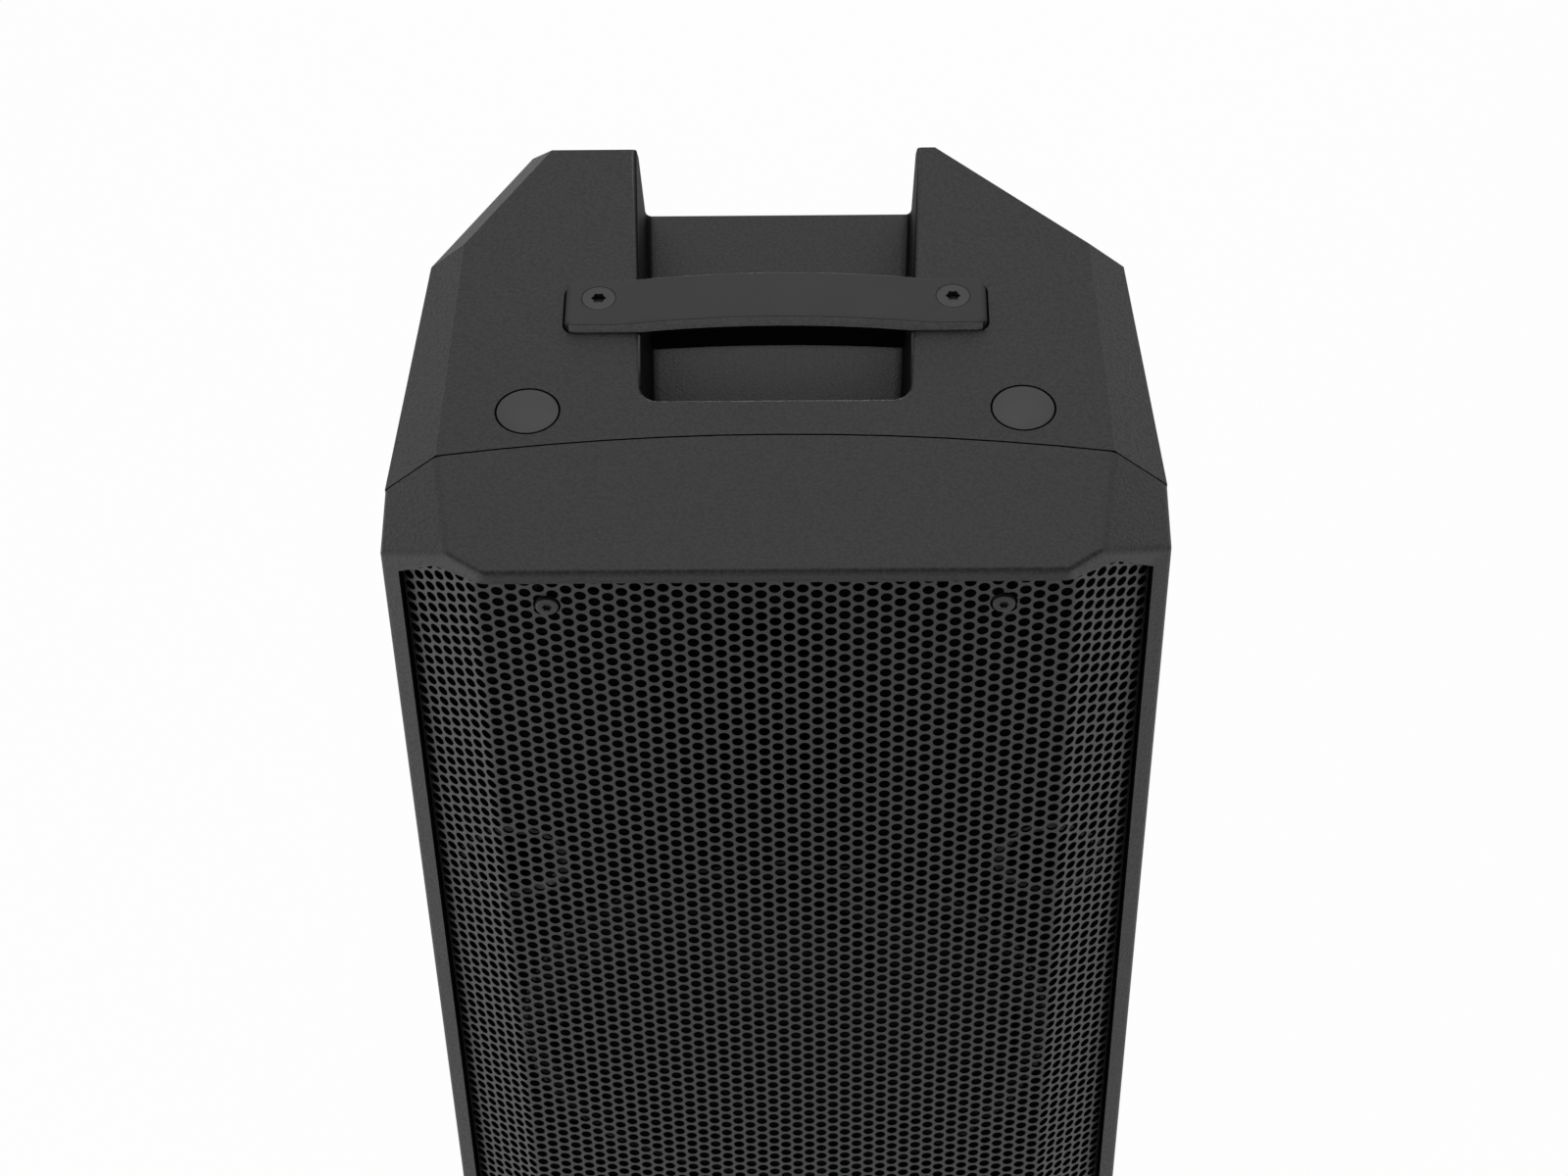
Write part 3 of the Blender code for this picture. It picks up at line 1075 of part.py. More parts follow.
def panel_places():
    """Where each control sits on the panel, as (x, z)."""
    left, right = PANEL_X - CONTROL_SPACING, PANEL_X + CONTROL_SPACING
    sockets = PANEL_TOP - SOCKET_DROP
    knobs = PANEL_TOP - KNOB_DROP
    buttons = PANEL_TOP - BUTTON_DROP
    return {"input_socket_one": (right, sockets),
            "link_socket": (PANEL_X, sockets),
            "input_socket_two": (left, sockets),
            "level_knob_one": (right, knobs),
            "master_knob": (PANEL_X, knobs),
            "level_knob_two": (left, knobs),
            "mode_button": (right, buttons),
            "low_cut_button": (left, buttons),
            "status_lamp": (PANEL_X, buttons),
            "mains_inlet": (PANEL_X + INLET_OFFSET, PANEL_LOW + INLET_RISE),
            "mains_rocker": (PANEL_X - INLET_OFFSET, PANEL_LOW + INLET_RISE)}


def build_amp_panel():
    """Rear plate with a hole for every control and standoffs for the boards."""
    outline = rounded_rectangle(PANEL_WIDTH, PANEL_HEIGHT, PANEL_CORNER, 3)
    place = facing_rear(PANEL_X, PANEL_BACK_Y, (PANEL_LOW + PANEL_TOP) / 2)
    panel = add_piece("amp_panel", prism(outline, 0, PANEL_THICKNESS), "painted aluminium", place)
    past = PANEL_THICKNESS * 2
    for name, (x, z) in panel_places().items():
        if "socket" in name:
            tool = disc(SOCKET_BODY_RADIUS + SEAT_GAP, -past, past, 16)
        elif "knob" in name:
            tool = disc(KNOB_SHAFT_RADIUS + SEAT_GAP, -past, past, 12)
        elif "button" in name:
            width, height = BUTTON_WIDTH + 2 * SEAT_GAP, BUTTON_HEIGHT + 2 * SEAT_GAP
            tool = prism(rounded_rectangle(width, height, BUTTON_CORNER, 2), -past, past)
        elif "lamp" in name:
            tool = disc(LAMP_RADIUS + SEAT_GAP, -past, past, 12)
        elif "inlet" in name:
            tool = box((-INLET_WIDTH / 2 - SEAT_GAP, -INLET_HEIGHT / 2 - SEAT_GAP, -past),
                       (INLET_WIDTH / 2 + SEAT_GAP, INLET_HEIGHT / 2 + SEAT_GAP, past))
        else:
            half_width = ROCKER_WIDTH / 2 + RUNNING_GAP + SWITCH_WALL + SEAT_GAP
            half_height = ROCKER_HEIGHT / 2 + RUNNING_GAP + SWITCH_WALL + SEAT_GAP
            tool = box((-half_width, -half_height, -past), (half_width, half_height, past))
        cut(panel, add_tool(name + "_hole", tool, facing_rear(x, PANEL_BACK_Y, z)))
    for index, (x, z) in enumerate(standoff_places()):
        bm = disc(STANDOFF_RADIUS, -STANDOFF_LENGTH, PANEL_THICKNESS / 2, 10)
        weld(panel, add_tool("standoff_%d" % index, bm, facing_rear(x, PANEL_BACK_Y, z)))


def board_heights():
    """Lower and upper edge of the amplifier board and of the power board above it."""
    low = PANEL_LOW + HEATSINK_RISE
    middle = low + AMP_BOARD_HEIGHT
    above = middle + BOARD_SPACING
    return {"amp_board": (low, middle), "power_board": (above, above + POWER_BOARD_HEIGHT)}


def standoff_places():
    """Pillars behind the panel that carry the two boards."""
    inset = 2 * STANDOFF_RADIUS
    half = BOARD_WIDTH / 2 - inset
    places = []
    for low, high in board_heights().values():
        places += [(PANEL_X - half, low + inset), (PANEL_X + half, low + inset)]
        places += [(PANEL_X - half, high - inset), (PANEL_X + half, high - inset)]
    return places


def build_sockets():
    """Round-bodied sockets on square flanges, with the push latch of each input."""
    for name, (x, z) in panel_places().items():
        if "socket" not in name:
            continue
        place = facing_rear(x, PANEL_FACE_Y + SEAT_GAP, z)
        outline = rounded_rectangle(SOCKET_FLANGE_WIDTH, SOCKET_FLANGE_HEIGHT, SOCKET_CORNER, 2)
        socket = add_piece(name, prism(outline, 0, SOCKET_FLANGE_THICKNESS), "moulded plastic", place)
        body = disc(SOCKET_BODY_RADIUS, -SOCKET_BODY_LENGTH, SOCKET_FLANGE_THICKNESS / 2, 16)
        weld(socket, add_tool(name + "_body", body, place))
        mouth = disc(SOCKET_HOLE_RADIUS, SOCKET_FLANGE_THICKNESS - SOCKET_HOLE_DEPTH,
                     SOCKET_FLANGE_THICKNESS * 2, 16)
        cut(socket, add_tool(name + "_mouth", mouth, place))
        if name == "link_socket":
            continue
        rise = (SOCKET_HOLE_RADIUS + SOCKET_FLANGE_HEIGHT / 2) / 2
        floor = SOCKET_FLANGE_THICKNESS / 2 - LATCH_TRAVEL / 2 - SEAT_GAP
        slot = box((-LATCH_WIDTH / 2 - SEAT_GAP, -LATCH_HEIGHT / 2 - SEAT_GAP, floor - LATCH_TRAVEL / 2),
                   (LATCH_WIDTH / 2 + SEAT_GAP, LATCH_HEIGHT / 2 + SEAT_GAP, SOCKET_FLANGE_THICKNESS * 2))
        up = Matrix.Translation((0, -rise, 0))
        cut(socket, add_tool(name + "_slot", slot, place @ up))
        tab = box((-LATCH_WIDTH / 2, -LATCH_HEIGHT / 2, floor + LATCH_TRAVEL / 2 + SEAT_GAP),
                  (LATCH_WIDTH / 2, LATCH_HEIGHT / 2, SOCKET_FLANGE_THICKNESS + LATCH_PROUD))
        add_piece(name.replace("socket", "latch"), tab, "moulded plastic", place @ up)


def build_knobs_and_buttons():
    """Rotary knobs on their shafts, push buttons and the status lamp."""
    for name, (x, z) in panel_places().items():
        place = facing_rear(x, PANEL_FACE_Y, z)
        if "knob" in name:
            foot = RUNNING_GAP
            tip = -PANEL_THICKNESS - CONTROL_BOARD_GAP + POT_LENGTH - POT_LENGTH / 2
            bm = turned([(0, tip), (KNOB_SHAFT_RADIUS, tip), (KNOB_SHAFT_RADIUS, foot), (KNOB_RADIUS, foot),
                         (KNOB_RADIUS * 0.86, foot + KNOB_LENGTH * 0.9),
                         (KNOB_RADIUS * 0.72, foot + KNOB_LENGTH), (0, foot + KNOB_LENGTH)], 16)
            knob = add_piece(name, bm, "moulded plastic", place, smooth=True)
            notch = box((-KNOB_NOTCH / 2, -KNOB_RADIUS, foot + KNOB_LENGTH - KNOB_NOTCH),
                        (KNOB_NOTCH / 2, -KNOB_RADIUS / 4, foot + KNOB_LENGTH * 2))
            cut(knob, add_tool(name + "_notch", notch, place))
        elif "button" in name:
            outline = rounded_rectangle(BUTTON_WIDTH, BUTTON_HEIGHT, BUTTON_CORNER, 2)
            bm = prism(outline, -PANEL_THICKNESS, BUTTON_PROUD)
            add_piece(name, bm, "moulded plastic", place)
        elif "lamp" in name:
            bm = turned([(0, -PANEL_THICKNESS), (LAMP_RADIUS, -PANEL_THICKNESS), (LAMP_RADIUS, 0),
                         (LAMP_RADIUS * 0.7, LAMP_RADIUS * 0.5), (0, LAMP_RADIUS * 0.7)], 12)
            add_piece(name, bm, "clear lamp", place, smooth=True)


def build_mains():
    """Mains inlet with its three pins, and the rocker switch in its frame."""
    places = panel_places()
    x, z = places["mains_inlet"]
    place = facing_rear(x, PANEL_FACE_Y + SEAT_GAP, z)
    width, height = INLET_WIDTH, INLET_HEIGHT
    outline = rounded_rectangle(width + 2 * INLET_FLANGE, height + 2 * INLET_FLANGE, INLET_FLANGE, 3)
    inlet = add_piece("mains_inlet", prism(outline, 0, SOCKET_FLANGE_THICKNESS), "moulded plastic", place)
    body = box((-width / 2, -height / 2, -INLET_DEPTH),
               (width / 2, height / 2, SOCKET_FLANGE_THICKNESS / 2))
    weld(inlet, add_tool("inlet_body", body, place))
    floor = INLET_WALL - INLET_DEPTH
    well = box((INLET_WALL - width / 2, INLET_WALL - height / 2, floor),
               (width / 2 - INLET_WALL, height / 2 - INLET_WALL, SOCKET_FLANGE_THICKNESS * 2))
    cut(inlet, add_tool("inlet_well", well, place))
    for index, (across, along) in enumerate(((-1, 1), (0, -1), (1, 1))):
        middle_x, middle_y = across * width / 5, along * height / 8
        pin = box((middle_x - INLET_PIN / 2, middle_y - INLET_PIN, floor - INLET_WALL / 2),
                  (middle_x + INLET_PIN / 2, middle_y + INLET_PIN, floor + INLET_PIN_LENGTH))
        weld(inlet, add_tool("inlet_pin_%d" % index, pin, place))

    x, z = places["mains_rocker"]
    place = facing_rear(x, PANEL_FACE_Y + SEAT_GAP, z)
    well_x, well_y = ROCKER_WIDTH / 2 + RUNNING_GAP, ROCKER_HEIGHT / 2 + RUNNING_GAP
    flange_x, flange_y = well_x + SWITCH_WALL + SWITCH_FLANGE, well_y + SWITCH_WALL + SWITCH_FLANGE
    flange = box((-flange_x, -flange_y, 0), (flange_x, flange_y, SWITCH_FLANGE_THICKNESS))
    frame = add_piece("mains_switch_frame", flange, "moulded plastic", place)
    body = box((-well_x - SWITCH_WALL, -well_y - SWITCH_WALL, -SWITCH_DEPTH),
               (well_x + SWITCH_WALL, well_y + SWITCH_WALL, SWITCH_FLANGE_THICKNESS / 2))
    weld(frame, add_tool("switch_body", body, place))
    well = box((-well_x, -well_y, SWITCH_WALL - SWITCH_DEPTH),
               (well_x, well_y, SWITCH_FLANGE_THICKNESS * 2))
    cut(frame, add_tool("switch_well", well, place))
    pivot = SWITCH_FLANGE_THICKNESS / 2
    half = ROCKER_HEIGHT / 2
    sag = half * math.tan(ROCKER_TILT)
    edge, heel = half * 0.94, half * 0.8
    crown, keel = pivot + ROCKER_CROWN, pivot - ROCKER_DEPTH
    side = [(-edge, crown - sag / 2), (0, crown), (edge, crown - sag / 2)]
    side += [(heel, pivot - ROCKER_DEPTH * 0.7), (0, keel), (-heel, pivot - ROCKER_DEPTH * 0.7)]
    bm = prism(side, -ROCKER_WIDTH / 2, ROCKER_WIDTH / 2)
    upright = Matrix(((0, 0, 1, 0), (1, 0, 0, 0), (0, 1, 0, 0), (0, 0, 0, 1)))
    bmesh.ops.transform(bm, matrix=upright, verts=bm.verts)
    bmesh.ops.translate(bm, vec=(0, 0, -pivot), verts=bm.verts)
    axle = Matrix.Translation((0, 0, pivot)) @ Matrix.Rotation(ROCKER_TILT, 4, "X")
    add_piece("mains_rocker", bm, "moulded plastic", place @ axle)


def build_amplifier():
    """Finned heat sink outside the panel; the three boards inside it."""
    width = HEATSINK_WIDTH
    low = PANEL_LOW + HEATSINK_RISE
    face = PANEL_FACE_Y + SEAT_GAP
    tip = face + HEATSINK_BASE + FIN_HEIGHT
    plate = face + HEATSINK_BASE
    step = (width - FIN_THICKNESS) / (FIN_COUNT - 1)
    outline = [(PANEL_X - width / 2, face), (PANEL_X + width / 2, face)]
    for index in reversed(range(FIN_COUNT)):
        left = PANEL_X - width / 2 + index * step
        outline += [(left + FIN_THICKNESS, tip), (left, tip)]
        if index:
            outline += [(left, plate), (left - step + FIN_THICKNESS, plate)]
    add_piece("amp_heatsink", prism(outline, low, low + HEATSINK_HEIGHT), "painted aluminium")

    board_y = PANEL_BACK_Y - STANDOFF_LENGTH - SEAT_GAP
    half = BOARD_WIDTH / 2
    for name, (low_z, high_z) in board_heights().items():
        bm = box((PANEL_X - half, board_y - BOARD_THICKNESS, low_z), (PANEL_X + half, board_y, high_z))
        board = add_piece(name, bm, "circuit board")
        for index in range(4):
            across = PANEL_X - half * 0.6 + index * half * 0.4
            bm = disc(half / 8, -BOARD_THICKNESS / 2, BOARD_SPACING, 10)
            place = facing_front(across, board_y - BOARD_THICKNESS, (low_z + high_z) / 2)
            weld(board, add_tool("%s_capacitor_%d" % (name, index), bm, place))
    control_y = PANEL_FACE_Y - PANEL_THICKNESS - CONTROL_BOARD_GAP
    knobs = [place for name, place in panel_places().items() if "knob" in name]
    low_z = knobs[0][1] - POT_RADIUS * 1.5
    bm = box((PANEL_X - half, control_y - BOARD_THICKNESS, low_z),
             (PANEL_X + half, control_y, low_z + POT_RADIUS * 3))
    control = add_piece("control_board", bm, "circuit board")
    for index, (x, z) in enumerate(knobs):
        pot = disc(POT_RADIUS, -BOARD_THICKNESS / 2, CONTROL_BOARD_GAP - SEAT_GAP, 12)
        weld(control, add_tool("pot_%d" % index, pot, facing_rear(x, control_y, z)))
        bore = disc(KNOB_SHAFT_RADIUS + SEAT_GAP, POT_LENGTH / 2 - SEAT_GAP, CONTROL_BOARD_GAP * 2, 16)
        cut(control, add_tool("pot_bore_%d" % index, bore, facing_rear(x, control_y, z)))


def build_damping():
    """Acoustic foam against the rear shell's side walls."""
    for side, name in ((-1, "left"), (1, "right")):
        bm = box((-DAMPING_THICKNESS, 0, 0), (0, DAMPING_LENGTH, DAMPING_HEIGHT))
        inner = HALF_WIDTH - SHELL_WALL / math.cos(SIDE_TAPER) - SEAT_GAP
        start = SEAM_Y + SEAM_BOW
        inner -= SEAM_BOW * math.tan(SIDE_TAPER)
        if side < 0:
            bmesh.ops.translate(bm, verts=bm.verts, vec=(DAMPING_THICKNESS, 0, 0))
        place = Matrix.Translation((side * inner, start, BASE_Z + DAMPING_RISE))
        turn = Matrix.Rotation(side * SIDE_TAPER, 4, "Z")
        add_piece("damping_pad_" + name, bm, "damping foam", place @ turn)


def main():
    clear_scene()
    build_rear_shell()
    build_front_baffle()
    build_grille()
    build_grille_screws()
    build_handle()
    build_pads_and_feet()
    build_woofer()
    build_horn()
    build_ports()
    build_amp_panel()
    build_sockets()
    build_knobs_and_buttons()
    build_mains()
    build_amplifier()
    build_damping()


main()
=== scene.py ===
"""Looks of a portable two-way powered loudspeaker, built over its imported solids.

Metres, +Z up, the front faces -Y. Every piece rides on a body of the frame by name.
"""
import math

import bmesh
import bpy
from mathutils import Euler, Matrix, Vector


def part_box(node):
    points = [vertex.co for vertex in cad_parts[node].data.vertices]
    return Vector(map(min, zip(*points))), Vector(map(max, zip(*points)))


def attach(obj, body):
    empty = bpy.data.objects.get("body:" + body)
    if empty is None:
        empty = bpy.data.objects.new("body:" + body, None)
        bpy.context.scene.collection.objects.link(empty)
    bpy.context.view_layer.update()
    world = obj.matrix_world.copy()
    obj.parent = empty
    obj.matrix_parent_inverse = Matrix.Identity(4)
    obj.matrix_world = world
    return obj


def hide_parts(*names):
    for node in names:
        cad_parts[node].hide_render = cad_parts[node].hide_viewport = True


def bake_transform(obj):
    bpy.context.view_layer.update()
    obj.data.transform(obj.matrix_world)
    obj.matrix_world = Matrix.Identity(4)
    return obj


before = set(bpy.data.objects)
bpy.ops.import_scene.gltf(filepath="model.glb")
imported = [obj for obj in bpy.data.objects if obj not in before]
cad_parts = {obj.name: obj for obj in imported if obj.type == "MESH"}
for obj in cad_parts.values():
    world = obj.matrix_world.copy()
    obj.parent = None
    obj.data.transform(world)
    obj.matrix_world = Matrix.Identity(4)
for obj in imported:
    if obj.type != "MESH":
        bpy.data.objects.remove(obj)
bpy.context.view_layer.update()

# Cabinet planes, from the frame
SHELL_LOW, SHELL_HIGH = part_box("rear_shell")
FRONT_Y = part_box("front_baffle")[0].y
TOP_Z, BASE_Z = SHELL_HIGH.z, SHELL_LOW.z
MIDDLE_Z = (TOP_Z + BASE_Z) / 2
HALF_HEIGHT = TOP_Z - MIDDLE_Z
HALF_WIDTH = SHELL_HIGH.x
LIP_DEPTH = 0.006               # behind this the inner faces of the front frame are flat black: painted shade
OUTWARD_LEAST = 0.02            # faces of the front frame that look outwards more than this keep their grain
SHARP = math.radians(38)        # edges under this angle are shaded as one surface

# Seam between the two mouldings
SEAM_Y = SHELL_LOW.y
SEAM_BOW = 0.014                # the seam runs further back at the middle
SEAM_FLAT = HALF_WIDTH - 0.028  # half width over which it is bowed
SEAM_GROOVE = 0.0007            # broken edge on each side of it
SEAM_NEAR = 0.0006              # edges closer than this belong to it
SEAM_CORNER = math.radians(60)  # and are broken where they are sharper than this
SEAM_DARK = SEAM_GROOVE * 2.5   # faces closer than this get painted shade in flat black

# Hand pocket, and the seats of the strap and the pads
POCKET_Z = TOP_Z - 0.060
POCKET_FRONT = -0.0445
POCKET_REAR = SHELL_HIGH.y
POCKET_FLOOR = (0.0640, 0.0749)  # half width of the floor at its front and at its rear
POCKET_FILLET = 0.003
POCKET_FADE = 0.006             # painted shade darkens the floor over this width at the foot of the walls
POCKET_FADED = 0.9              # share of the walls' painted shade that the floor gets there
WALL_LEAN = (0.10, 0.80)        # sideways share of the normal over which a face takes the walls' painted shade
POCKET_REACH = 0.085            # the pocket's walls lie within this distance of the middle plane
POCKET_RIM = 0.003              # the pocket's faces start this far in front of its floor
POCKET_ROOM = 0.001             # and end this far below it
TOP_SKIN = 0.00005              # faces closer to the top plane than this belong to the top
SEAT_SHALLOWEST = 0.0002
SEAT_DEEPEST = 0.004            # seats of the strap and the pads, below the top
SEAT_ROOM = 0.0016

# Grille: 6 mm round holes on 8 mm triangular pitch, drawn 6.2 mm wide, in a bowed sheet with two bent wings
HOLE_RADIUS = 0.0031
HOLE_PITCH = 0.0080
HOLE_SIDES = 12
HALF_COLUMNS = 30               # about this many columns of holes lie on each side of the middle
HOLE_WALL = 0.70                # faces that look forwards or backwards less than this line a hole and get painted shade
GRILLE_SETBACK = 0.0032         # middle of the sheet, behind the lip
GRILLE_BOW = 0.0084
GRILLE_BEND_X = 0.150
WING_ANGLE = math.radians(36)
GRILLE_THICKNESS = 0.0015
GRILLE_GAP = 0.0015             # round the edge of the sheet
GRILLE_SHARP = math.radians(50)
LIP_HEIGHT = 0.008
LIP_SLOPE = math.radians(18.5)
RAIL_WIDTH = 0.0095
CORNER_DROP = 0.035             # where the opening's corner cut meets its side, below the top plane
SCREW_CLEARANCE = 0.0069        # hole in the sheet round each grille screw
CLEARANCE_SIDES = 16

# Fasteners
PAN_RADIUS = 0.0058
PAN_SET = 0.0020                # the face of a tightened head lies this far behind the solid's
PAN_SEAT = 0.0048               # and its underside this far
PAN_SHANK = 0.0022
FLUSH_SHANK = 0.0040
FLUSH_HEAD = 0.0042
HEAD_STEPS = 48
STAR_RADIUS = 0.0023
STAR_WAVE = 0.00035
STAR_DEPTH = 0.0020
STRAP_STAR_RADIUS = 0.0035
STRAP_STAR_WAVE = 0.0004
STRAP_STAR_DEPTH = 0.0034

# Strap: the solid's rolled front edge is drawn tighter
STRAP_LOW, STRAP_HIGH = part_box("handle_strap")
STRAP_ARCH = 0.0052
STRAP_ARCH_HALF = 0.0806        # the arch runs out at this distance from the middle
STRAP_CORNER = 0.005
STRAP_EDGE = 0.0036
STRAP_FRONT_EDGE = 0.0010
STRAP_LIT_FACING = 0.75             # faces that look forwards more than this get painted light

# Thin near-black mat on the pocket's floor under the strap: painted shadow
MAT_HALF = 0.0690
MAT_FRONT = 0.0598              # front edge at the middle; the ends lie further forward
MAT_FRONT_BOW = 0.0030
MAT_REAR = 0.112
MAT_THICKNESS = 0.0008
MAT_CORNER = 0.004
MAT_SLICES = 20                 # across each half
MAT_ROWS = 6

# Pads and stand socket
PADS = ("top_pad_left", "top_pad_right")
PAD_FACE = 0.985                # the dome starts at this share of the pad's radius
PAD_STEPS = 8
STAND_BORE = 0.0178
STAND_TUBE = 0.0208
STAND_WALL = 0.003

# Woofer, about its own axis: (radius, height towards the front)
BAFFLE_Y = FRONT_Y + 0.055
CONE_NECK = 0.0390
CONE_EDGE = 0.1275
CONE_DEPTH = 0.060
CONE_FRONT = 0.002
CONE_BOW = 0.0045
CONE_SHEET = 0.0015
CONE_STEPS = 12
CAP_RADIUS = 0.052
CAP_HEIGHT = 0.018
CAP_LIFT = 0.0006               # the cap's rim stands this far off the cone
CAP_STEPS = 10
GLUE = 0.0003                   # between the cone and the surround
ROLL_HEIGHT = 0.0070
ROLL_STEPS = 16
SURROUND_IN = 0.1245
SURROUND_OUT = 0.1515
SURROUND_LIP = 0.0036
BASKET_MOUTH = 0.1425
SURROUND_SHEET = 0.0014
SURROUND_SECTORS = 16
SPIDER_IN = 0.0390
SPIDER_OUT = 0.0640
SPIDER_LIP = 0.0820
SPIDER_BACK = -0.0627
SPIDER_WAVE = 0.0025
SPIDER_STEPS = 24
SPIDER_SHEET = 0.0010
SPIDER_SECTORS = 8

# Rear panel
PANEL_LOW, PANEL_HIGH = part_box("amp_panel")
PANEL_FACE = PANEL_HIGH.y
PANEL_INSET = 0.0055            # of the screws, from the plate's edges
PANEL_SCREW = 0.0032
SIDE_SCREWS = 5
KNOBS = ("level_knob_one", "master_knob", "level_knob_two")
TICK_COUNT = 11
TICK_SWEEP = math.radians(300)
TICK_RADIUS = 0.0108
TICK_SIZE = (0.0005, 0.0002, 0.0022)
KNOB_LIFT = 0.0006
KNOB_SHAFT = 0.0030
KNOB_FLUTES = 18
FLUTE_DEPTH = 0.035             # half the depth of a flute, as a share of the knob's radius
LENS_STEPS = 7

# Sockets; profiles are (radius, height from the socket's face)
SOCKETS = ("input_socket_one", "input_socket_two", "link_socket")
SOCKET_SCREW = 0.0018
SOCKET_INSET = (0.0035, 0.0038)
INSERT_PROFILE = [(0, -0.0135), (0.0076, -0.0135), (0.0076, -0.0052), (0.0072, -0.0046), (0, -0.0046)]
SLEEVE_PROFILE = [(0.0010, -0.0048), (0.0016, -0.0048), (0.0016, -0.0040), (0.0014, -0.0038),
                  (0.0010, -0.0038)]
PIN_PROFILE = [(0, -0.0048), (0.0012, -0.0048), (0.0012, -0.0014), (0.0007, -0.0008), (0, -0.0008)]
CONTACT_CIRCLE = 0.0042
CONTACT_TURNS = (90, 210, 330)
INLET_PINS = ((-0.006, 0.003), (0, -0.003), (0.006, 0.003))
INLET_PIN_HALF = (0.0016, 0.0024)
INLET_PIN_ENDS = (0.0025, 0.0045)  # from the inlet's inner end and from its face

# Camera at the photograph's viewing angle; the image is taken as 1600 x 1200
CAMERA_PLACE = (0.0238, -1.4070, 1.9776)
CAMERA_TURN = (43.0975, 0.6942, 0.1441)
CAMERA_LENS = 84.5
CAMERA_SENSOR = 36.0

# Studio: white floor and cloth, dark in front; at these levels a colour renders about as it is written
FLOOR_WHITE = 0.98              # share of plain white where the floor is seen
FLOOR_FRONT = 0.46              # share of that white that a glossy surface meets in front of the object
BACKDROP_WHITE = 0.88           # the same share for the cloth behind and above, which ends over the object
CARD_REAR = (-0.38, -0.14)      # the grey stretch in front of the object fades out between these depths
CARD_SIDE = (0.22, 0.50)        # and between these distances from the middle
CLOTH_EDGE = (-0.30, 0.0)       # depth of a direction over which the cloth fades in
ROOM_LIGHT = 0.10
FLOOR_REACH = 6.0
LAMP_AIM = 0.8                  # share of the cabinet's height at which the lamps point
LAMPS = {"overhead_softbox": ((0.0, 0.75, 2.70), 2.0, 15.0),
         "left_softbox": ((-1.6, -1.2, 0.45), 0.9, 12.5),
         "right_softbox": ((1.6, -1.2, 0.45), 0.9, 3.0),
         "front_softbox": ((0.0, -2.3, 1.35), 0.9, 5.0),
         "rear_softbox": ((0.0, 2.0, 0.20), 0.6, 8.0)}


def linear(code):
    """sRGB hex text to linear red, green, blue and alpha."""
    shares = [int(code[start:start + 2], 16) / 255 for start in (1, 3, 5)]
    return [s / 12.92 if s <= 0.04045 else ((s + 0.055) / 1.055) ** 2.4 for s in shares] + [1.0]


def add_node(tree, kind, inputs=None, **settings):
    """Adds a shader node; each input is a value or another node's output."""
    made = tree.nodes.new(kind)
    for name, value in settings.items():
        setattr(made, name, value)
    for key, value in (inputs or {}).items():
        if isinstance(value, bpy.types.NodeSocket):
            tree.links.new(value, made.inputs[key])
        else:
            made.inputs[key].default_value = value
    return made


def new_material(name, **sockets):
    """A material with its Principled shader; the sockets hold what is the same all over."""
    material = bpy.data.materials.new(name)
    material.use_nodes = True
    shader = material.node_tree.nodes["Principled BSDF"]
    for key, value in sockets.items():
        shader.inputs[key.replace("_", " ")].default_value = value
    return material, material.node_tree, shader


def finish_surface(tree, shader, pattern, dark, light, smooth, rough, height, depth):
    """Lays a pattern on a shader: colour between two hex values, roughness between two shares, relief."""
    tint = add_node(tree, "ShaderNodeMix", {0: pattern, 6: linear(dark), 7: linear(light)}, data_type="RGBA")
    tree.links.new(tint.outputs[2], shader.inputs["Base Color"])
    gloss = add_node(tree, "ShaderNodeMapRange", {"Value": pattern, "To Min": smooth, "To Max": rough})
    tree.links.new(gloss.outputs[0], shader.inputs["Roughness"])
    bump = add_node(tree, "ShaderNodeBump", {"Strength": 1.0, "Distance": depth, "Height": height})
    tree.links.new(bump.outputs[0], shader.inputs["Normal"])


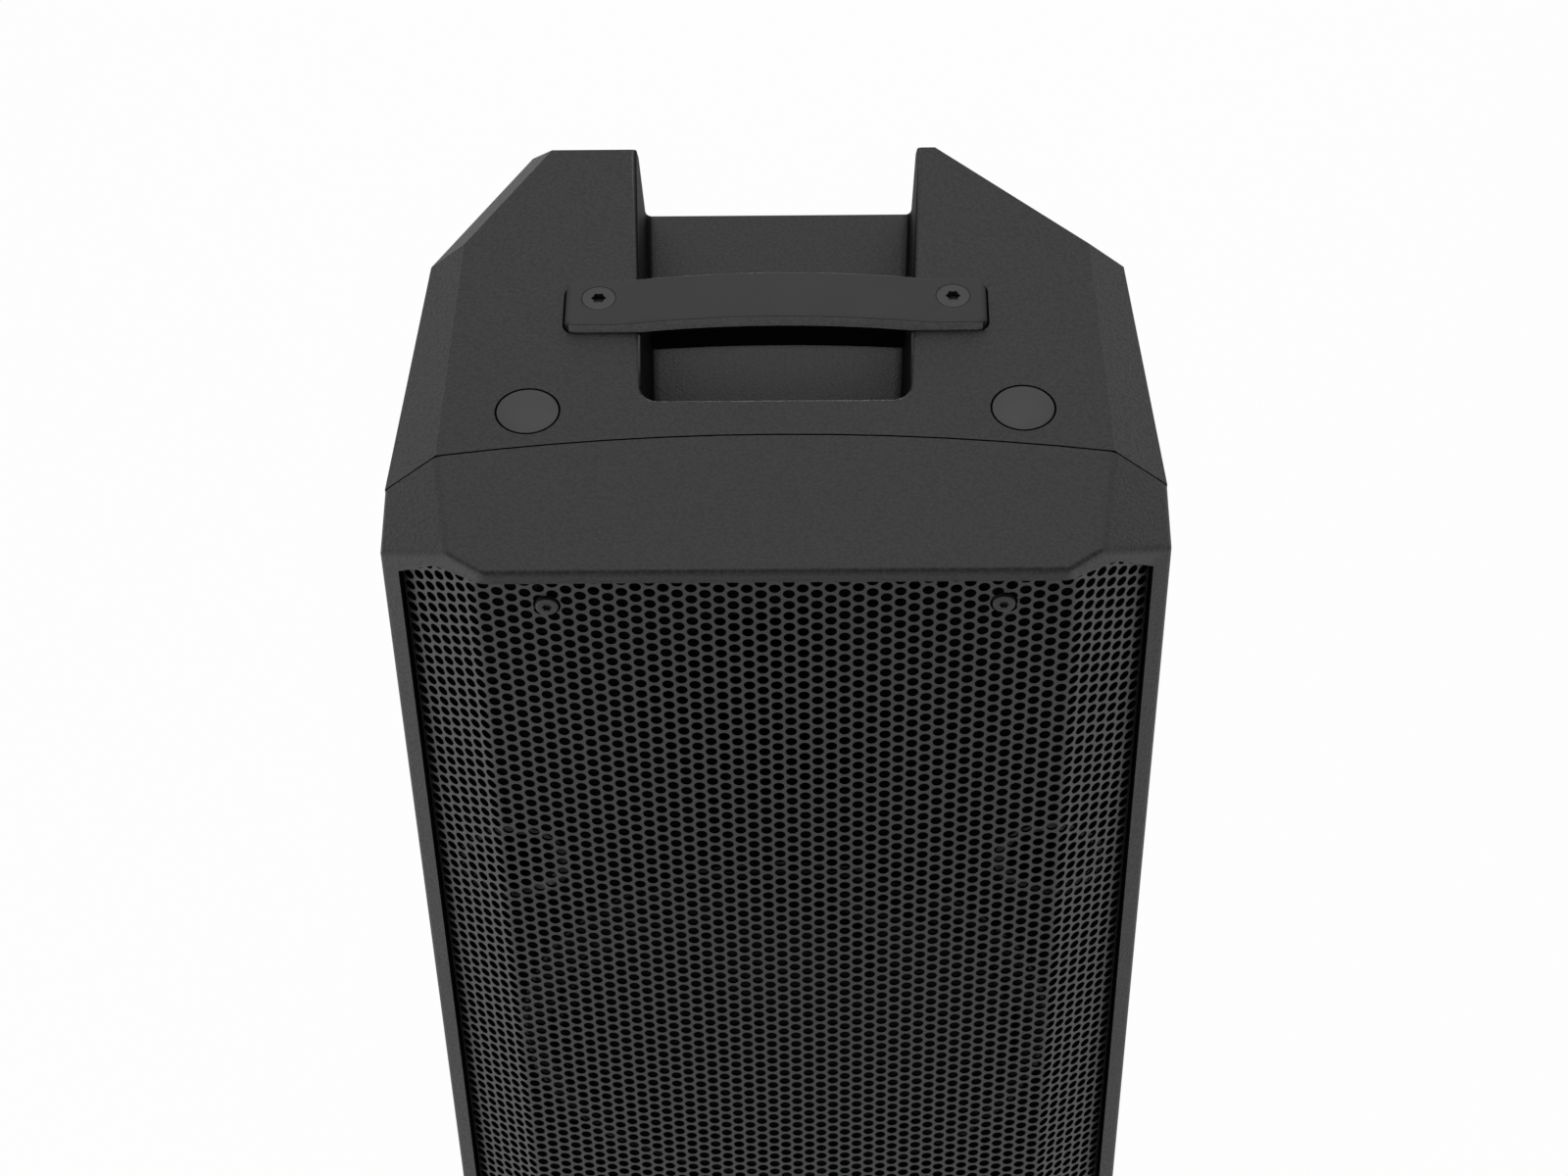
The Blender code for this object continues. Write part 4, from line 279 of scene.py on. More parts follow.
def paint_pocket_shade(tree, shader, where):
    """Paints shade on the hand pocket's side walls and along their foot: the grain turns darker there and its
    sheen duller.
    """
    lean = add_node(tree, "ShaderNodeSeparateXYZ",
                    {0: add_node(tree, "ShaderNodeNewGeometry").outputs["Normal"]})
    side = add_node(tree, "ShaderNodeMath", {0: lean.outputs[0]}, operation="ABSOLUTE")
    wall = add_node(tree, "ShaderNodeMapRange", {"Value": side.outputs[0], "From Min": WALL_LEAN[0],
                                                 "From Max": WALL_LEAN[1]}, interpolation_type="SMOOTHSTEP")
    spot = add_node(tree, "ShaderNodeSeparateXYZ", {0: where})
    half = add_node(tree, "ShaderNodeMapRange", {"Value": spot.outputs[1], "From Min": POCKET_FRONT,
                                                 "From Max": POCKET_REAR, "To Min": POCKET_FLOOR[0],
                                                 "To Max": POCKET_FLOOR[1]})
    across = add_node(tree, "ShaderNodeMath", {0: spot.outputs[0]}, operation="ABSOLUTE")
    short = add_node(tree, "ShaderNodeMath", {0: half.outputs[0], 1: across.outputs[0]}, operation="SUBTRACT")
    fade = add_node(tree, "ShaderNodeMapRange", {"Value": short.outputs[0], "From Min": POCKET_FADE,
                                                 "From Max": 0.0, "To Max": POCKET_FADED},
                    interpolation_type="SMOOTHSTEP")
    deep = add_node(tree, "ShaderNodeMapRange", {"Value": spot.outputs[2], "From Min": POCKET_Z + POCKET_FADE,
                                                 "From Max": POCKET_Z}, interpolation_type="SMOOTHSTEP")
    foot = add_node(tree, "ShaderNodeMath", {0: fade.outputs[0], 1: deep.outputs[0]}, operation="MULTIPLY")
    drawn = add_node(tree, "ShaderNodeMath", {0: wall.outputs[0], 1: foot.outputs[0]}, operation="MAXIMUM")
    # Painted shade: near-black on the walls and at their foot, with less sheen
    grained = shader.inputs["Base Color"].links[0].from_socket
    tint = add_node(tree, "ShaderNodeMix", {0: drawn.outputs[0], 6: grained, 7: linear("#050505")},
                    data_type="RGBA")
    tree.links.new(tint.outputs[2], shader.inputs["Base Color"])
    sheen = add_node(tree, "ShaderNodeMapRange", {"Value": drawn.outputs[0], "To Min": 0.5, "To Max": 0.04})
    tree.links.new(sheen.outputs[0], shader.inputs["Specular IOR Level"])


def textured_polypropylene(name, pocket_shade):
    """Injection-moulded polypropylene from a spark-eroded mould: charcoal, matte, with a pebbled leather
    grain about 1.5 mm across whose crests catch a broad, soft sheen. In the hand pocket's copy, painted shade
    makes it darker and duller towards the side walls and along their foot."""
    material, tree, shader = new_material(name, IOR=1.49)
    where = add_node(tree, "ShaderNodeTexCoord").outputs["Object"]
    warp = add_node(tree, "ShaderNodeTexNoise", {"Vector": where, "Scale": 1 / 0.0040, "Detail": 1.0})
    bent = add_node(tree, "ShaderNodeMix", {0: 0.0009, 4: where, 5: warp.outputs[1]}, data_type="VECTOR")
    pebble = add_node(tree, "ShaderNodeTexVoronoi", {"Vector": bent.outputs[1], "Scale": 1 / 0.0016,
                                                     "Smoothness": 0.6}, feature="SMOOTH_F1")
    pores = add_node(tree, "ShaderNodeTexNoise", {"Vector": where, "Scale": 1 / 0.0009, "Detail": 2.0})
    crest = add_node(tree, "ShaderNodeMapRange", {"Value": pebble.outputs["Distance"], "From Min": 0.75,
                                                  "From Max": 0.05})
    both = add_node(tree, "ShaderNodeMath", {0: crest.outputs[0], 1: pores.outputs[0]}, operation="MULTIPLY")
    finish_surface(tree, shader, both.outputs[0], "#0c0c0d", "#3c3c3d", 0.62, 0.50, both.outputs[0], 0.00036)
    if pocket_shade:
        paint_pocket_shade(tree, shader, where)
    return material


def patterned_finish(name, texture, size, colours, roughness, relief, inputs=None, settings=None, output=0,
                     **sockets):
    """A material with one pattern for its colour, roughness and relief; size and relief are in metres."""
    material, tree, shader = new_material(name, **sockets)
    where = add_node(tree, "ShaderNodeTexCoord").outputs["Object"]
    laid = add_node(tree, "ShaderNodeTex" + texture, {"Vector": where, "Scale": 1 / size, **(inputs or {})},
                    **(settings or {}))
    finish_surface(tree, shader, laid.outputs[output], *colours, *roughness, laid.outputs[output], relief)
    return material


def painted_shade_black():
    """Near-black and dead matt, faintly uneven: painted shade on the baffle, the horn, the seam, the seats
    and the grille's hole walls.
    """
    return patterned_finish("painted_shade_black", "Noise", size=0.0020, colours=("#040405", "#090909"),
                            roughness=(0.85, 1.0), relief=0.00010, inputs={"Detail": 5.0}, IOR=1.45,
                            Specular_IOR_Level=0.1)


def powder_coated_steel():
    """Perforated steel sheet with a baked black powder coat: satin, with a fine orange-peel ripple."""
    return patterned_finish("powder_coated_steel", "Noise", size=0.0012, colours=("#222223", "#343435"),
                            roughness=(0.40, 0.52), relief=0.00008, inputs={"Detail": 2.0}, IOR=1.52)


def moulded_rubber():
    """Moulded black rubber: dark, very soft sheen, a dry bloom in faint clouds and a fine matte skin."""
    material, tree, shader = new_material("moulded_rubber", IOR=1.52)
    where = add_node(tree, "ShaderNodeTexCoord").outputs["Object"]
    bloom = add_node(tree, "ShaderNodeTexNoise", {"Vector": where, "Scale": 1 / 0.030, "Detail": 4.0})
    skin = add_node(tree, "ShaderNodeTexNoise", {"Vector": where, "Scale": 1 / 0.0008, "Detail": 2.0})
    finish_surface(tree, shader, bloom.outputs[0], "#19191a", "#262627", 0.58, 0.68, skin.outputs[0], 0.00006)
    return material


def pad_rubber_painted_light():
    """Rubber of the pads and feet: paler than the strap's, painted light for the light the domed pads catch,
    closer in its sheen.
    """
    return patterned_finish("pad_rubber_painted_light", "Noise", size=0.0060, colours=("#242425", "#323233"),
                            roughness=(0.44, 0.56), relief=0.00005, inputs={"Detail": 5.0}, IOR=1.52)


def rubber_painted_light():
    """The same rubber on the strap's front edge: painted light makes it a paler grey, drier, with a coarse
    pebble grain.
    """
    return patterned_finish("rubber_painted_light", "Noise", size=0.0018, colours=("#666667", "#98989a"),
                            roughness=(0.75, 0.90), relief=0.00015, inputs={"Detail": 3.0}, IOR=1.52,
                            Specular_IOR_Level=0.3)


def shadow_mat_black():
    """The deepest black, no shine, faintly uneven: painted shadow of the strap on the pocket's floor."""
    return patterned_finish("shadow_mat_black", "Noise", size=0.0012, colours=("#030303", "#070707"),
                            roughness=(0.95, 1.0), relief=0.00030, inputs={"Detail": 4.0}, IOR=1.40,
                            Specular_IOR_Level=0.02)


def blackened_steel():
    """Black-oxide steel fasteners: dark grey metal, faintly mottled, with a soft glint."""
    return patterned_finish("blackened_steel", "Noise", size=0.0010, colours=("#2a2a2b", "#474748"),
                            roughness=(0.36, 0.50), relief=0.00003, inputs={"Detail": 3.0}, Metallic=0.4)


def satin_painted_steel():
    """Pressed steel under satin black paint: even, with a slight ripple from the press."""
    return patterned_finish("satin_painted_steel", "Noise", size=0.006, colours=("#101011", "#19191a"),
                            roughness=(0.38, 0.50), relief=0.00010, inputs={"Detail": 3.0}, IOR=1.52)


def plated_steel():
    """Zinc-plated machined steel: pale grey metal, faintly clouded."""
    return patterned_finish("plated_steel", "Noise", size=0.0020, colours=("#9c9ca0", "#c6c6ca"),
                            roughness=(0.28, 0.42), relief=0.00003, inputs={"Detail": 4.0}, Metallic=1.0)


def sintered_ferrite():
    """Pressed and sintered ferrite: charcoal ceramic, dull and gritty."""
    return patterned_finish("sintered_ferrite", "Noise", size=0.0015, colours=("#303032", "#48484a"),
                            roughness=(0.62, 0.80), relief=0.00010, inputs={"Detail": 6.0}, IOR=2.0)


def doped_paper():
    """Paper pulp cone with a black weather coating: dull, with the felted lay of short fibres."""
    return patterned_finish("doped_paper", "Noise", size=0.0025, colours=("#0c0c0d", "#161617"),
                            roughness=(0.70, 0.85), relief=0.00020,
                            inputs={"Detail": 8.0, "Roughness": 0.7, "Distortion": 1.5}, IOR=1.47,
                            Specular_IOR_Level=0.15)


def coated_cloth():
    """Woven cotton roll with a tacky black coating: satin dark, the weave just showing through."""
    return patterned_finish("coated_cloth", "Voronoi", size=0.0010, colours=("#0c0c0d", "#161617"),
                            roughness=(0.55, 0.75), relief=0.00012, inputs={"Randomness": 0.25}, IOR=1.47,
                            Specular_IOR_Level=0.15)


def resin_cloth():
    """Open cloth dipped in phenolic resin: amber brown, with a coarse square weave."""
    return patterned_finish("resin_cloth", "Voronoi", size=0.0014, colours=("#8a6a2c", "#c29a52"),
                            roughness=(0.60, 0.80), relief=0.00015, inputs={"Randomness": 0.15}, IOR=1.52)


def enamelled_copper():
    """Copper wire wound edge to edge under clear enamel: warm metal with a groove at each turn, drawn
    coarser than the wire, about 5 mm apart, so that it shows."""
    return patterned_finish("enamelled_copper", "Wave", size=0.016, colours=("#8e4a24", "#c8743c"),
                            roughness=(0.25, 0.38), relief=0.00010,
                            settings={"wave_type": "BANDS", "bands_direction": "Y"}, output=1, Metallic=1.0)


def satin_abs():
    """Moulded ABS with a fine satin mould finish: near black, evenly soft in its shine."""
    return patterned_finish("satin_abs", "Noise", size=0.0007, colours=("#161617", "#212122"),
                            roughness=(0.34, 0.46), relief=0.00004, inputs={"Detail": 2.0}, IOR=1.54)


def cast_aluminium():
    """Die-cast aluminium: pale grey, slightly mottled where the melt chilled on the die."""
    return patterned_finish("cast_aluminium", "Noise", size=0.004, colours=("#97989b", "#bcbdc0"),
                            roughness=(0.38, 0.55), relief=0.00010, inputs={"Detail": 5.0}, Metallic=1.0)


def painted_aluminium():
    """Aluminium plate and extrusion under a matt black stove paint with a fine sanded texture."""
    return patterned_finish("painted_aluminium", "Noise", size=0.0008, colours=("#18181a", "#29292b"),
                            roughness=(0.42, 0.58), relief=0.00006, inputs={"Detail": 3.0}, IOR=1.52)


def solder_mask_board():
    """Glass-epoxy board under green solder mask: the copper below shows as faint paler patches."""
    return patterned_finish("solder_mask_board", "Voronoi", size=0.006, colours=("#0c3d22", "#1f6b3e"),
                            roughness=(0.30, 0.45), relief=0.00008, inputs={"Randomness": 0.4},
                            settings={"distance": "CHEBYCHEV"}, IOR=1.55)


def lamp_acrylic():
    """Moulded green acrylic lens, not lit: clear gloss over a slightly cloudy body."""
    return patterned_finish("lamp_acrylic", "Noise", size=0.002, colours=("#2f9a4c", "#63c47c"),
                            roughness=(0.12, 0.22), relief=0.00002, inputs={"Detail": 2.0}, IOR=1.49)


def open_cell_foam():
    """Open-cell polyurethane foam: dark grey, dead matte, pitted all over by cut cells about 2 mm wide."""
    return patterned_finish("open_cell_foam", "Voronoi", size=0.0022, colours=("#4a4a4d", "#2c2c2e"),
                            roughness=(0.90, 1.0), relief=0.00060, IOR=1.45)


def screen_print():
    """White screen-printing ink: flat, slightly uneven in its cover."""
    return patterned_finish("screen_print", "Noise", size=0.0010, colours=("#c9c9c6", "#dededb"),
                            roughness=(0.50, 0.62), relief=0.00002, inputs={"Detail": 3.0}, IOR=1.50)


def nickel_contact():
    """Nickel-plated brass contacts: bright, with a little tarnish."""
    return patterned_finish("nickel_contact", "Noise", size=0.002, colours=("#a9a69c", "#d2d0c8"),
                            roughness=(0.18, 0.32), relief=0.00002, inputs={"Detail": 3.0}, Metallic=1.0)


POLYPROPYLENE = textured_polypropylene("textured_polypropylene", False)
# The pocket's copy carries painted shade on its walls and along their foot
POCKET_SHADE_PLASTIC = textured_polypropylene("polypropylene_pocket_shade", True)
PAINTED_SHADE_BLACK = painted_shade_black()
POWDER_COAT = powder_coated_steel()
RUBBER = moulded_rubber()
PAD_RUBBER_LIGHT = pad_rubber_painted_light()
STRAP_FRONT_LIGHT = rubber_painted_light()
SHADOW_MAT_BLACK = shadow_mat_black()
BLACK_STEEL = blackened_steel()
PAINTED_STEEL = satin_painted_steel()
PLATED_STEEL = plated_steel()
FERRITE = sintered_ferrite()
PAPER = doped_paper()
CLOTH = coated_cloth()
SPIDER_CLOTH = resin_cloth()
COPPER = enamelled_copper()
ABS = satin_abs()
CAST_ALUMINIUM = cast_aluminium()
PAINTED_ALUMINIUM = painted_aluminium()
BOARD = solder_mask_board()
LAMP = lamp_acrylic()
FOAM = open_cell_foam()
INK = screen_print()
CONTACT = nickel_contact()


def add_piece(name, bm, material, body="cabinet", stands_for=(), edge=0.0, sharp=SHARP,
              others=()):
    """Makes a smooth-shaded piece of a bmesh; it rides on a body and may stand for CAD nodes."""
    mesh = bpy.data.meshes.new(name)
    bm.to_mesh(mesh)
    bm.free()
    for finish in (material, *others):
        mesh.materials.append(finish)
    mesh.shade_smooth()
    mesh.set_sharp_from_angle(angle=sharp)
    piece = bpy.data.objects.new(name, mesh)
    bpy.context.scene.collection.objects.link(piece)
    if edge:
        broken = piece.modifiers.new("broken_edges", "BEVEL")
        broken.width = edge
        broken.segments = 2
        broken.limit_method = "ANGLE"
        broken.angle_limit = SHARP
    weighted = piece.modifiers.new("weighted_normals", "WEIGHTED_NORMAL")
    weighted.keep_sharp = True
    if body:
        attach(piece, body)
    if stands_for:
        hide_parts(*stands_for)
    return piece


def merged_copy(node):
    """A node's solid as one joined mesh with its flat faces whole."""
    bm = bmesh.new()
    bm.from_mesh(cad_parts[node].data)
    bmesh.ops.remove_doubles(bm, verts=bm.verts, dist=2e-6)
    bmesh.ops.dissolve_limit(bm, angle_limit=math.radians(0.4), verts=bm.verts, edges=bm.edges)
    return bm


def finished_copy(name, node, material, body="cabinet", edge=0.0):
    """A piece with a node's own shape, and its edges broken where that shows."""
    return add_piece(name, merged_copy(node), material, body=body, stands_for=[node], edge=edge)


def turned(profile, steps):
    """Spins (radius, height) points about Z; the profile starts and ends on the axis or closes on itself."""
    bm = bmesh.new()
    points = [bm.verts.new((radius, 0, height)) for radius, height in profile]
    edges = [bm.edges.new(pair) for pair in zip(points, points[1:])]
    if profile[0][0] > 0:
        edges.append(bm.edges.new((points[-1], points[0])))
    bmesh.ops.spin(bm, geom=points + edges, cent=(0, 0, 0), axis=(0, 0, 1), angle=2 * math.pi, steps=steps,
                   use_merge=True)
    bmesh.ops.remove_doubles(bm, verts=bm.verts, dist=1e-7)
    bmesh.ops.dissolve_degenerate(bm, dist=1e-7, edges=bm.edges)
    bmesh.ops.recalc_face_normals(bm, faces=bm.faces)
    return bm


def place(bm, matrix):
    bmesh.ops.transform(bm, matrix=matrix, verts=bm.verts)
    return bm


def upright(centre):
    return Matrix.Translation((centre.x, centre.y, 0))


def facing_front(x, y, z):
    return Matrix.Translation((x, y, z)) @ Matrix.Rotation(math.pi / 2, 4, "X")


def facing_rear(x, y, z):
    return Matrix.Translation((x, y, z)) @ Matrix.Rotation(-math.pi / 2, 4, "X")


def join(bm, other):
    """Adds another bmesh to this one."""
    mesh = bpy.data.meshes.new("joined")
    other.to_mesh(mesh)
    other.free()
    bm.from_mesh(mesh)
    bpy.data.meshes.remove(mesh)


def middle(node):
    low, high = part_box(node)
    return (low + high) / 2


def on_seat(centre):
    """Whether a face of the rear shell lies in a seat of the strap or of a pad."""
    if not TOP_Z - SEAT_DEEPEST < centre.z < TOP_Z - SEAT_SHALLOWEST:
        return False
    away = centre - (STRAP_LOW + STRAP_HIGH) / 2
    half = (STRAP_HIGH - STRAP_LOW) / 2 + Vector((SEAT_ROOM, SEAT_ROOM, 0))
    seated = abs(away.x) < half.x and abs(away.y) < half.y and abs(centre.x) > POCKET_REACH
    for pad in PADS:
        low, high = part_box(pad)
        reach = (high.x - low.x) / 2 + SEAT_ROOM
        seated = seated or (centre.xy - middle(pad).xy).length < reach
    return seated


def moulding_finish(node, centre, normal):
    """Which finish a face of a moulding has: 0 grain, 1 inside the hand pocket with painted shade on its
    walls, 2 flat black painted shade.
    """
    if node == "rear_shell":
        if (POCKET_Z - POCKET_ROOM < centre.z < TOP_Z - TOP_SKIN and abs(centre.x) < POCKET_REACH
                and centre.y > POCKET_FRONT - POCKET_RIM):
            return 1
        # The seats of the strap and the pads get painted shade in flat black.
        return 2 if on_seat(centre) else 0
    # Faces of the front frame inside the opening, behind the lip, get painted shade in flat black.
    outward = normal.x * centre.x + normal.z * (centre.z - MIDDLE_Z)
    behind = (outward < OUTWARD_LEAST and centre.y > FRONT_Y + LIP_DEPTH
              and abs(centre.x) < HALF_WIDTH - RAIL_WIDTH + GRILLE_GAP
              and abs(centre.z - MIDDLE_Z) < HALF_HEIGHT - LIP_HEIGHT + GRILLE_GAP)
    return 2 if behind else 0


def off_seam(point):
    """Distance of a point from the bowed seam, along the cabinet's depth."""
    return abs(point.y - SEAM_Y - SEAM_BOW * max(0.0, 1 - (point.x / SEAM_FLAT) ** 2))


def cabinet_mouldings():
    """Rear shell and front frame with the seam's edges broken, and painted shade in flat black in the seam,
    the seats and behind the grille.
    """
    for node, name in (("rear_shell", "cabinet_rear_shell"), ("front_baffle", "cabinet_front_frame")):
        bm = merged_copy(node)
        for face in bm.faces:
            face.material_index = moulding_finish(node, face.calc_center_median(), face.normal)
        seam = [edge for edge in bm.edges if edge.calc_face_angle(0) > SEAM_CORNER
                and all(off_seam(vertex.co) < SEAM_NEAR for vertex in edge.verts)]
        bmesh.ops.bevel(bm, geom=seam, offset=SEAM_GROOVE, offset_type="OFFSET", segments=1, profile=0.5,
                        affect="EDGES", clamp_overlap=True, material=-1)
        # Painted shade: the faces in the seam's groove turn flat black.
        for face in bm.faces:
            if all(off_seam(vertex.co) < SEAM_DARK for vertex in face.verts):
                face.material_index = 2
        add_piece(name, bm, POLYPROPYLENE, stands_for=[node],
                  others=(POCKET_SHADE_PLASTIC, PAINTED_SHADE_BLACK))


def sheet_front(x):
    """Front of the grille sheet at a distance from the middle plane."""
    bowed = min(abs(x), GRILLE_BEND_X)
    bow = GRILLE_BOW * (bowed / GRILLE_BEND_X) ** 2
    return FRONT_Y + GRILLE_SETBACK + bow + max(0.0, abs(x) - GRILLE_BEND_X) * math.tan(WING_ANGLE)


def opening_planes():
    """Edges of the grille as planes: lips, corner cuts and sides."""
    side_x = HALF_WIDTH - RAIL_WIDTH
    planes = []
    for up in (1, -1):
        normal = Vector((0, math.sin(LIP_SLOPE), up * math.cos(LIP_SLOPE)))
        lip = Vector((0, FRONT_Y, MIDDLE_Z + up * (HALF_HEIGHT - LIP_HEIGHT)))
        planes.append((lip - normal * GRILLE_GAP, normal))
        for side in (1, -1):
            normal = Vector((side, 0, up)).normalized()
            corner = Vector((side * side_x, 0, MIDDLE_Z + up * (HALF_HEIGHT - CORNER_DROP)))
            planes.append((corner - normal * GRILLE_GAP, normal))
    for side in (1, -1):
        planes.append((Vector((side * (side_x - GRILLE_GAP), 0, 0)), Vector((side, 0, 0))))
    return planes


def clear_screw(bm, screw):
    """Cuts a round opening in the sheet for the head of a screw."""
    ways = []
    for side in range(CLEARANCE_SIDES):
        turn = 2 * math.pi * side / CLEARANCE_SIDES
        ways.append(Vector((math.cos(turn), 0, math.sin(turn))))
    for way in ways:
        near = [face for face in bm.faces
                if (face.calc_center_median() - screw).xz.length < 2 * SCREW_CLEARANCE]
        corners = {vertex for face in near for vertex in face.verts}
        sides = {edge for face in near for edge in face.edges}
        bmesh.ops.bisect_plane(bm, geom=near + list(corners) + list(sides), plane_no=way,
                               plane_co=screw + way * SCREW_CLEARANCE)
    inside = [face for face in bm.faces
              if all((face.calc_center_median() - screw).dot(way) < SCREW_CLEARANCE for way in ways)]
    bmesh.ops.delete(bm, geom=inside, context="FACES")


def perforated_grille():
    """One six-sided cell with a round hole, repeated over the sheet, which is bent, trimmed and thickened."""
    bm = bmesh.new()
    bmesh.ops.create_circle(bm, segments=6, radius=HOLE_PITCH / math.sqrt(3),
                            matrix=Matrix.Rotation(math.pi / 2, 4, "Z"))
    bmesh.ops.create_circle(bm, segments=HOLE_SIDES, radius=HOLE_RADIUS)
    bmesh.ops.bridge_loops(bm, edges=bm.edges)
    across = HOLE_PITCH * math.sqrt(3) / 2
    rows = math.ceil((TOP_Z - BASE_Z) / HOLE_PITCH)
    place(bm, facing_front(-HALF_COLUMNS * across, 0, TOP_Z - rows * HOLE_PITCH))
    for offset, steps in (((0, 0, HOLE_PITCH), rows), ((across, 0, HOLE_PITCH / 2), 1),
                          ((2 * across, 0, 0), HALF_COLUMNS)):
        bmesh.ops.spin(bm, geom=bm.verts[:] + bm.edges[:] + bm.faces[:], cent=(0, 0, 0), axis=(0, 0, 1),
                       dvec=offset, angle=0, steps=steps, use_duplicate=True)
    bmesh.ops.remove_doubles(bm, verts=bm.verts, dist=1e-5)
    for vertex in bm.verts:
        beyond = max(0.0, abs(vertex.co.x) - GRILLE_BEND_X)
        vertex.co.x -= math.copysign(beyond * (1 - math.cos(WING_ANGLE)), vertex.co.x)
        vertex.co.y = sheet_front(vertex.co.x)
    for point, normal in opening_planes():
        bmesh.ops.bisect_plane(bm, geom=bm.verts[:] + bm.edges[:] + bm.faces[:], plane_co=point,
                               plane_no=normal, clear_outer=True)
    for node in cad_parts:
        if node.startswith("grille_screw"):
            clear_screw(bm, middle(node))
    bmesh.ops.recalc_face_normals(bm, faces=bm.faces)
    if sum(face.normal.y * face.calc_area() for face in bm.faces) > 0:
        bmesh.ops.reverse_faces(bm, faces=bm.faces)
    bmesh.ops.solidify(bm, geom=bm.faces[:], thickness=GRILLE_THICKNESS)
    lower = bm.copy()
    for half, name, sign in ((bm, "grille_upper", 1), (lower, "grille_lower", -1)):
        other = [face for face in half.faces if sign * (face.calc_center_median().z - MIDDLE_Z) < 0]
        bmesh.ops.delete(half, geom=other, context="FACES")
        # Painted shade: the holes' walls are flat black.
        for face in half.faces:
            if abs(face.normal.y) < HOLE_WALL:
                face.material_index = 1
        add_piece(name, half, POWDER_COAT, stands_for=["grille"], sharp=GRILLE_SHARP,
                  others=(PAINTED_SHADE_BLACK,))


def recessed_head(profile, ring_radius, ring, depth, steps):
    """A turned head whose top opens into a driven recess; ring(turn) gives the recess's radius."""
    bm = bmesh.new()
    outline = profile + [(ring_radius, profile[-1][1])]
    points = [bm.verts.new((radius, 0, height)) for radius, height in outline]
    edges = [bm.edges.new(pair) for pair in zip(points, points[1:])]
    bmesh.ops.spin(bm, geom=points + edges, cent=(0, 0, 0), axis=(0, 0, 1), angle=2 * math.pi, steps=steps,
                   use_merge=True)
    bmesh.ops.remove_doubles(bm, verts=bm.verts, dist=1e-7)
    rim = [edge for edge in bm.edges if edge.is_boundary]
    for height in (profile[-1][1], profile[-1][1] - depth):
        raised = bmesh.ops.extrude_edge_only(bm, edges=rim)["geom"]
        for vertex in [item for item in raised if isinstance(item, bmesh.types.BMVert)]:
            turn = math.atan2(vertex.co.y, vertex.co.x)
            radius = ring(turn)
            vertex.co = Vector((radius * math.cos(turn), radius * math.sin(turn), height))
        rim = [item for item in raised if isinstance(item, bmesh.types.BMEdge) and item.is_boundary]
    bmesh.ops.holes_fill(bm, edges=rim)
    bmesh.ops.recalc_face_normals(bm, faces=bm.faces)
    return bm


def star(turn):
    return STAR_RADIUS + STAR_WAVE * math.cos(6 * turn)


def strap_star(turn):
    return STRAP_STAR_RADIUS + STRAP_STAR_WAVE * math.cos(6 * turn)


def fasteners():
    """Pan-head screws in the grille's clearance holes and flush countersunk screws in the strap."""
    for node in sorted(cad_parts):
        low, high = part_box(node)
        centre = (low + high) / 2
        if node.startswith("grille_screw"):
            head = low.y + PAN_SET
            seat = low.y + PAN_SEAT
            end = high.y
            profile = [(0, -end), (PAN_SHANK, -end), (PAN_SHANK, -seat), (PAN_RADIUS, -seat),
                       (PAN_RADIUS, -head - 0.0009), (PAN_RADIUS * 0.96, -head - 0.0003),
                       (PAN_RADIUS * 0.88, -head - 0.0001), (PAN_RADIUS * 0.76, -head)]
            bm = recessed_head(profile, STAR_RADIUS * 1.25, star, STAR_DEPTH, HEAD_STEPS)
            place(bm, facing_front(centre.x, 0, centre.z))
            name = node.replace("screw", "pan_screw")
        elif node.startswith("handle_screw"):
            top = high.z
            radius = (high.x - low.x) / 2
            profile = [(0, low.z), (FLUSH_SHANK, low.z), (FLUSH_SHANK, top - FLUSH_HEAD),
                       (radius, top - 0.0006), (radius - 0.0003, top - 0.0001), (radius - 0.0008, top)]
            bm = recessed_head(profile, STRAP_STAR_RADIUS * 1.5, strap_star, STRAP_STAR_DEPTH, HEAD_STEPS)
            place(bm, upright(centre))
            name = node.replace("screw", "flush_screw")
        else:
            continue
        add_piece(name, bm, BLACK_STEEL, stands_for=[node])


def strap_rise(x):
    """Rise of the arched strap at a distance from the middle."""
    return STRAP_ARCH * max(0.0, 1 - (x / STRAP_ARCH_HALF) ** 2)


def strap():
    """Arched strap: along its front both edges are drawn out to a tighter roll, less so round the corners;
    its front faces get painted light.
    """
    bm = merged_copy("handle_strap")
    centre = (STRAP_LOW + STRAP_HIGH) / 2
    half = (STRAP_HIGH - STRAP_LOW) / 2
    end_top, end_low = STRAP_HIGH.z - STRAP_ARCH, STRAP_LOW.z
    for vertex in bm.verts:
        spot = Vector((vertex.co.x, vertex.co.y - centre.y))
        core = Vector((max(STRAP_CORNER - half.x, min(half.x - STRAP_CORNER, spot.x)),
                       max(STRAP_CORNER - half.y, min(half.y - STRAP_CORNER, spot.y))))
        out = spot - core
        inset = STRAP_CORNER - out.length
        if out.y > -1e-6 or inset > STRAP_EDGE - 1e-6:
            continue
        share = 1 - (1 - STRAP_FRONT_EDGE / STRAP_EDGE) * (out.y / out.length) ** 2
        spot = core + out.normalized() * (STRAP_CORNER - inset * share)
        level = vertex.co.z - strap_rise(vertex.co.x)
        upper = level > (end_top + end_low) / 2
        level = end_top - (end_top - level) * share if upper else end_low + (level - end_low) * share
        vertex.co = Vector((spot.x, spot.y + centre.y, level + strap_rise(vertex.co.x)))
    # Painted light: the faces that look forwards are drawn paler
    for face in bm.faces:
        if face.normal.y < -STRAP_LIT_FACING:
            face.material_index = 1
    add_piece("strap_grip", bm, RUBBER, stands_for=["handle_strap"],
              others=(STRAP_FRONT_LIGHT,))


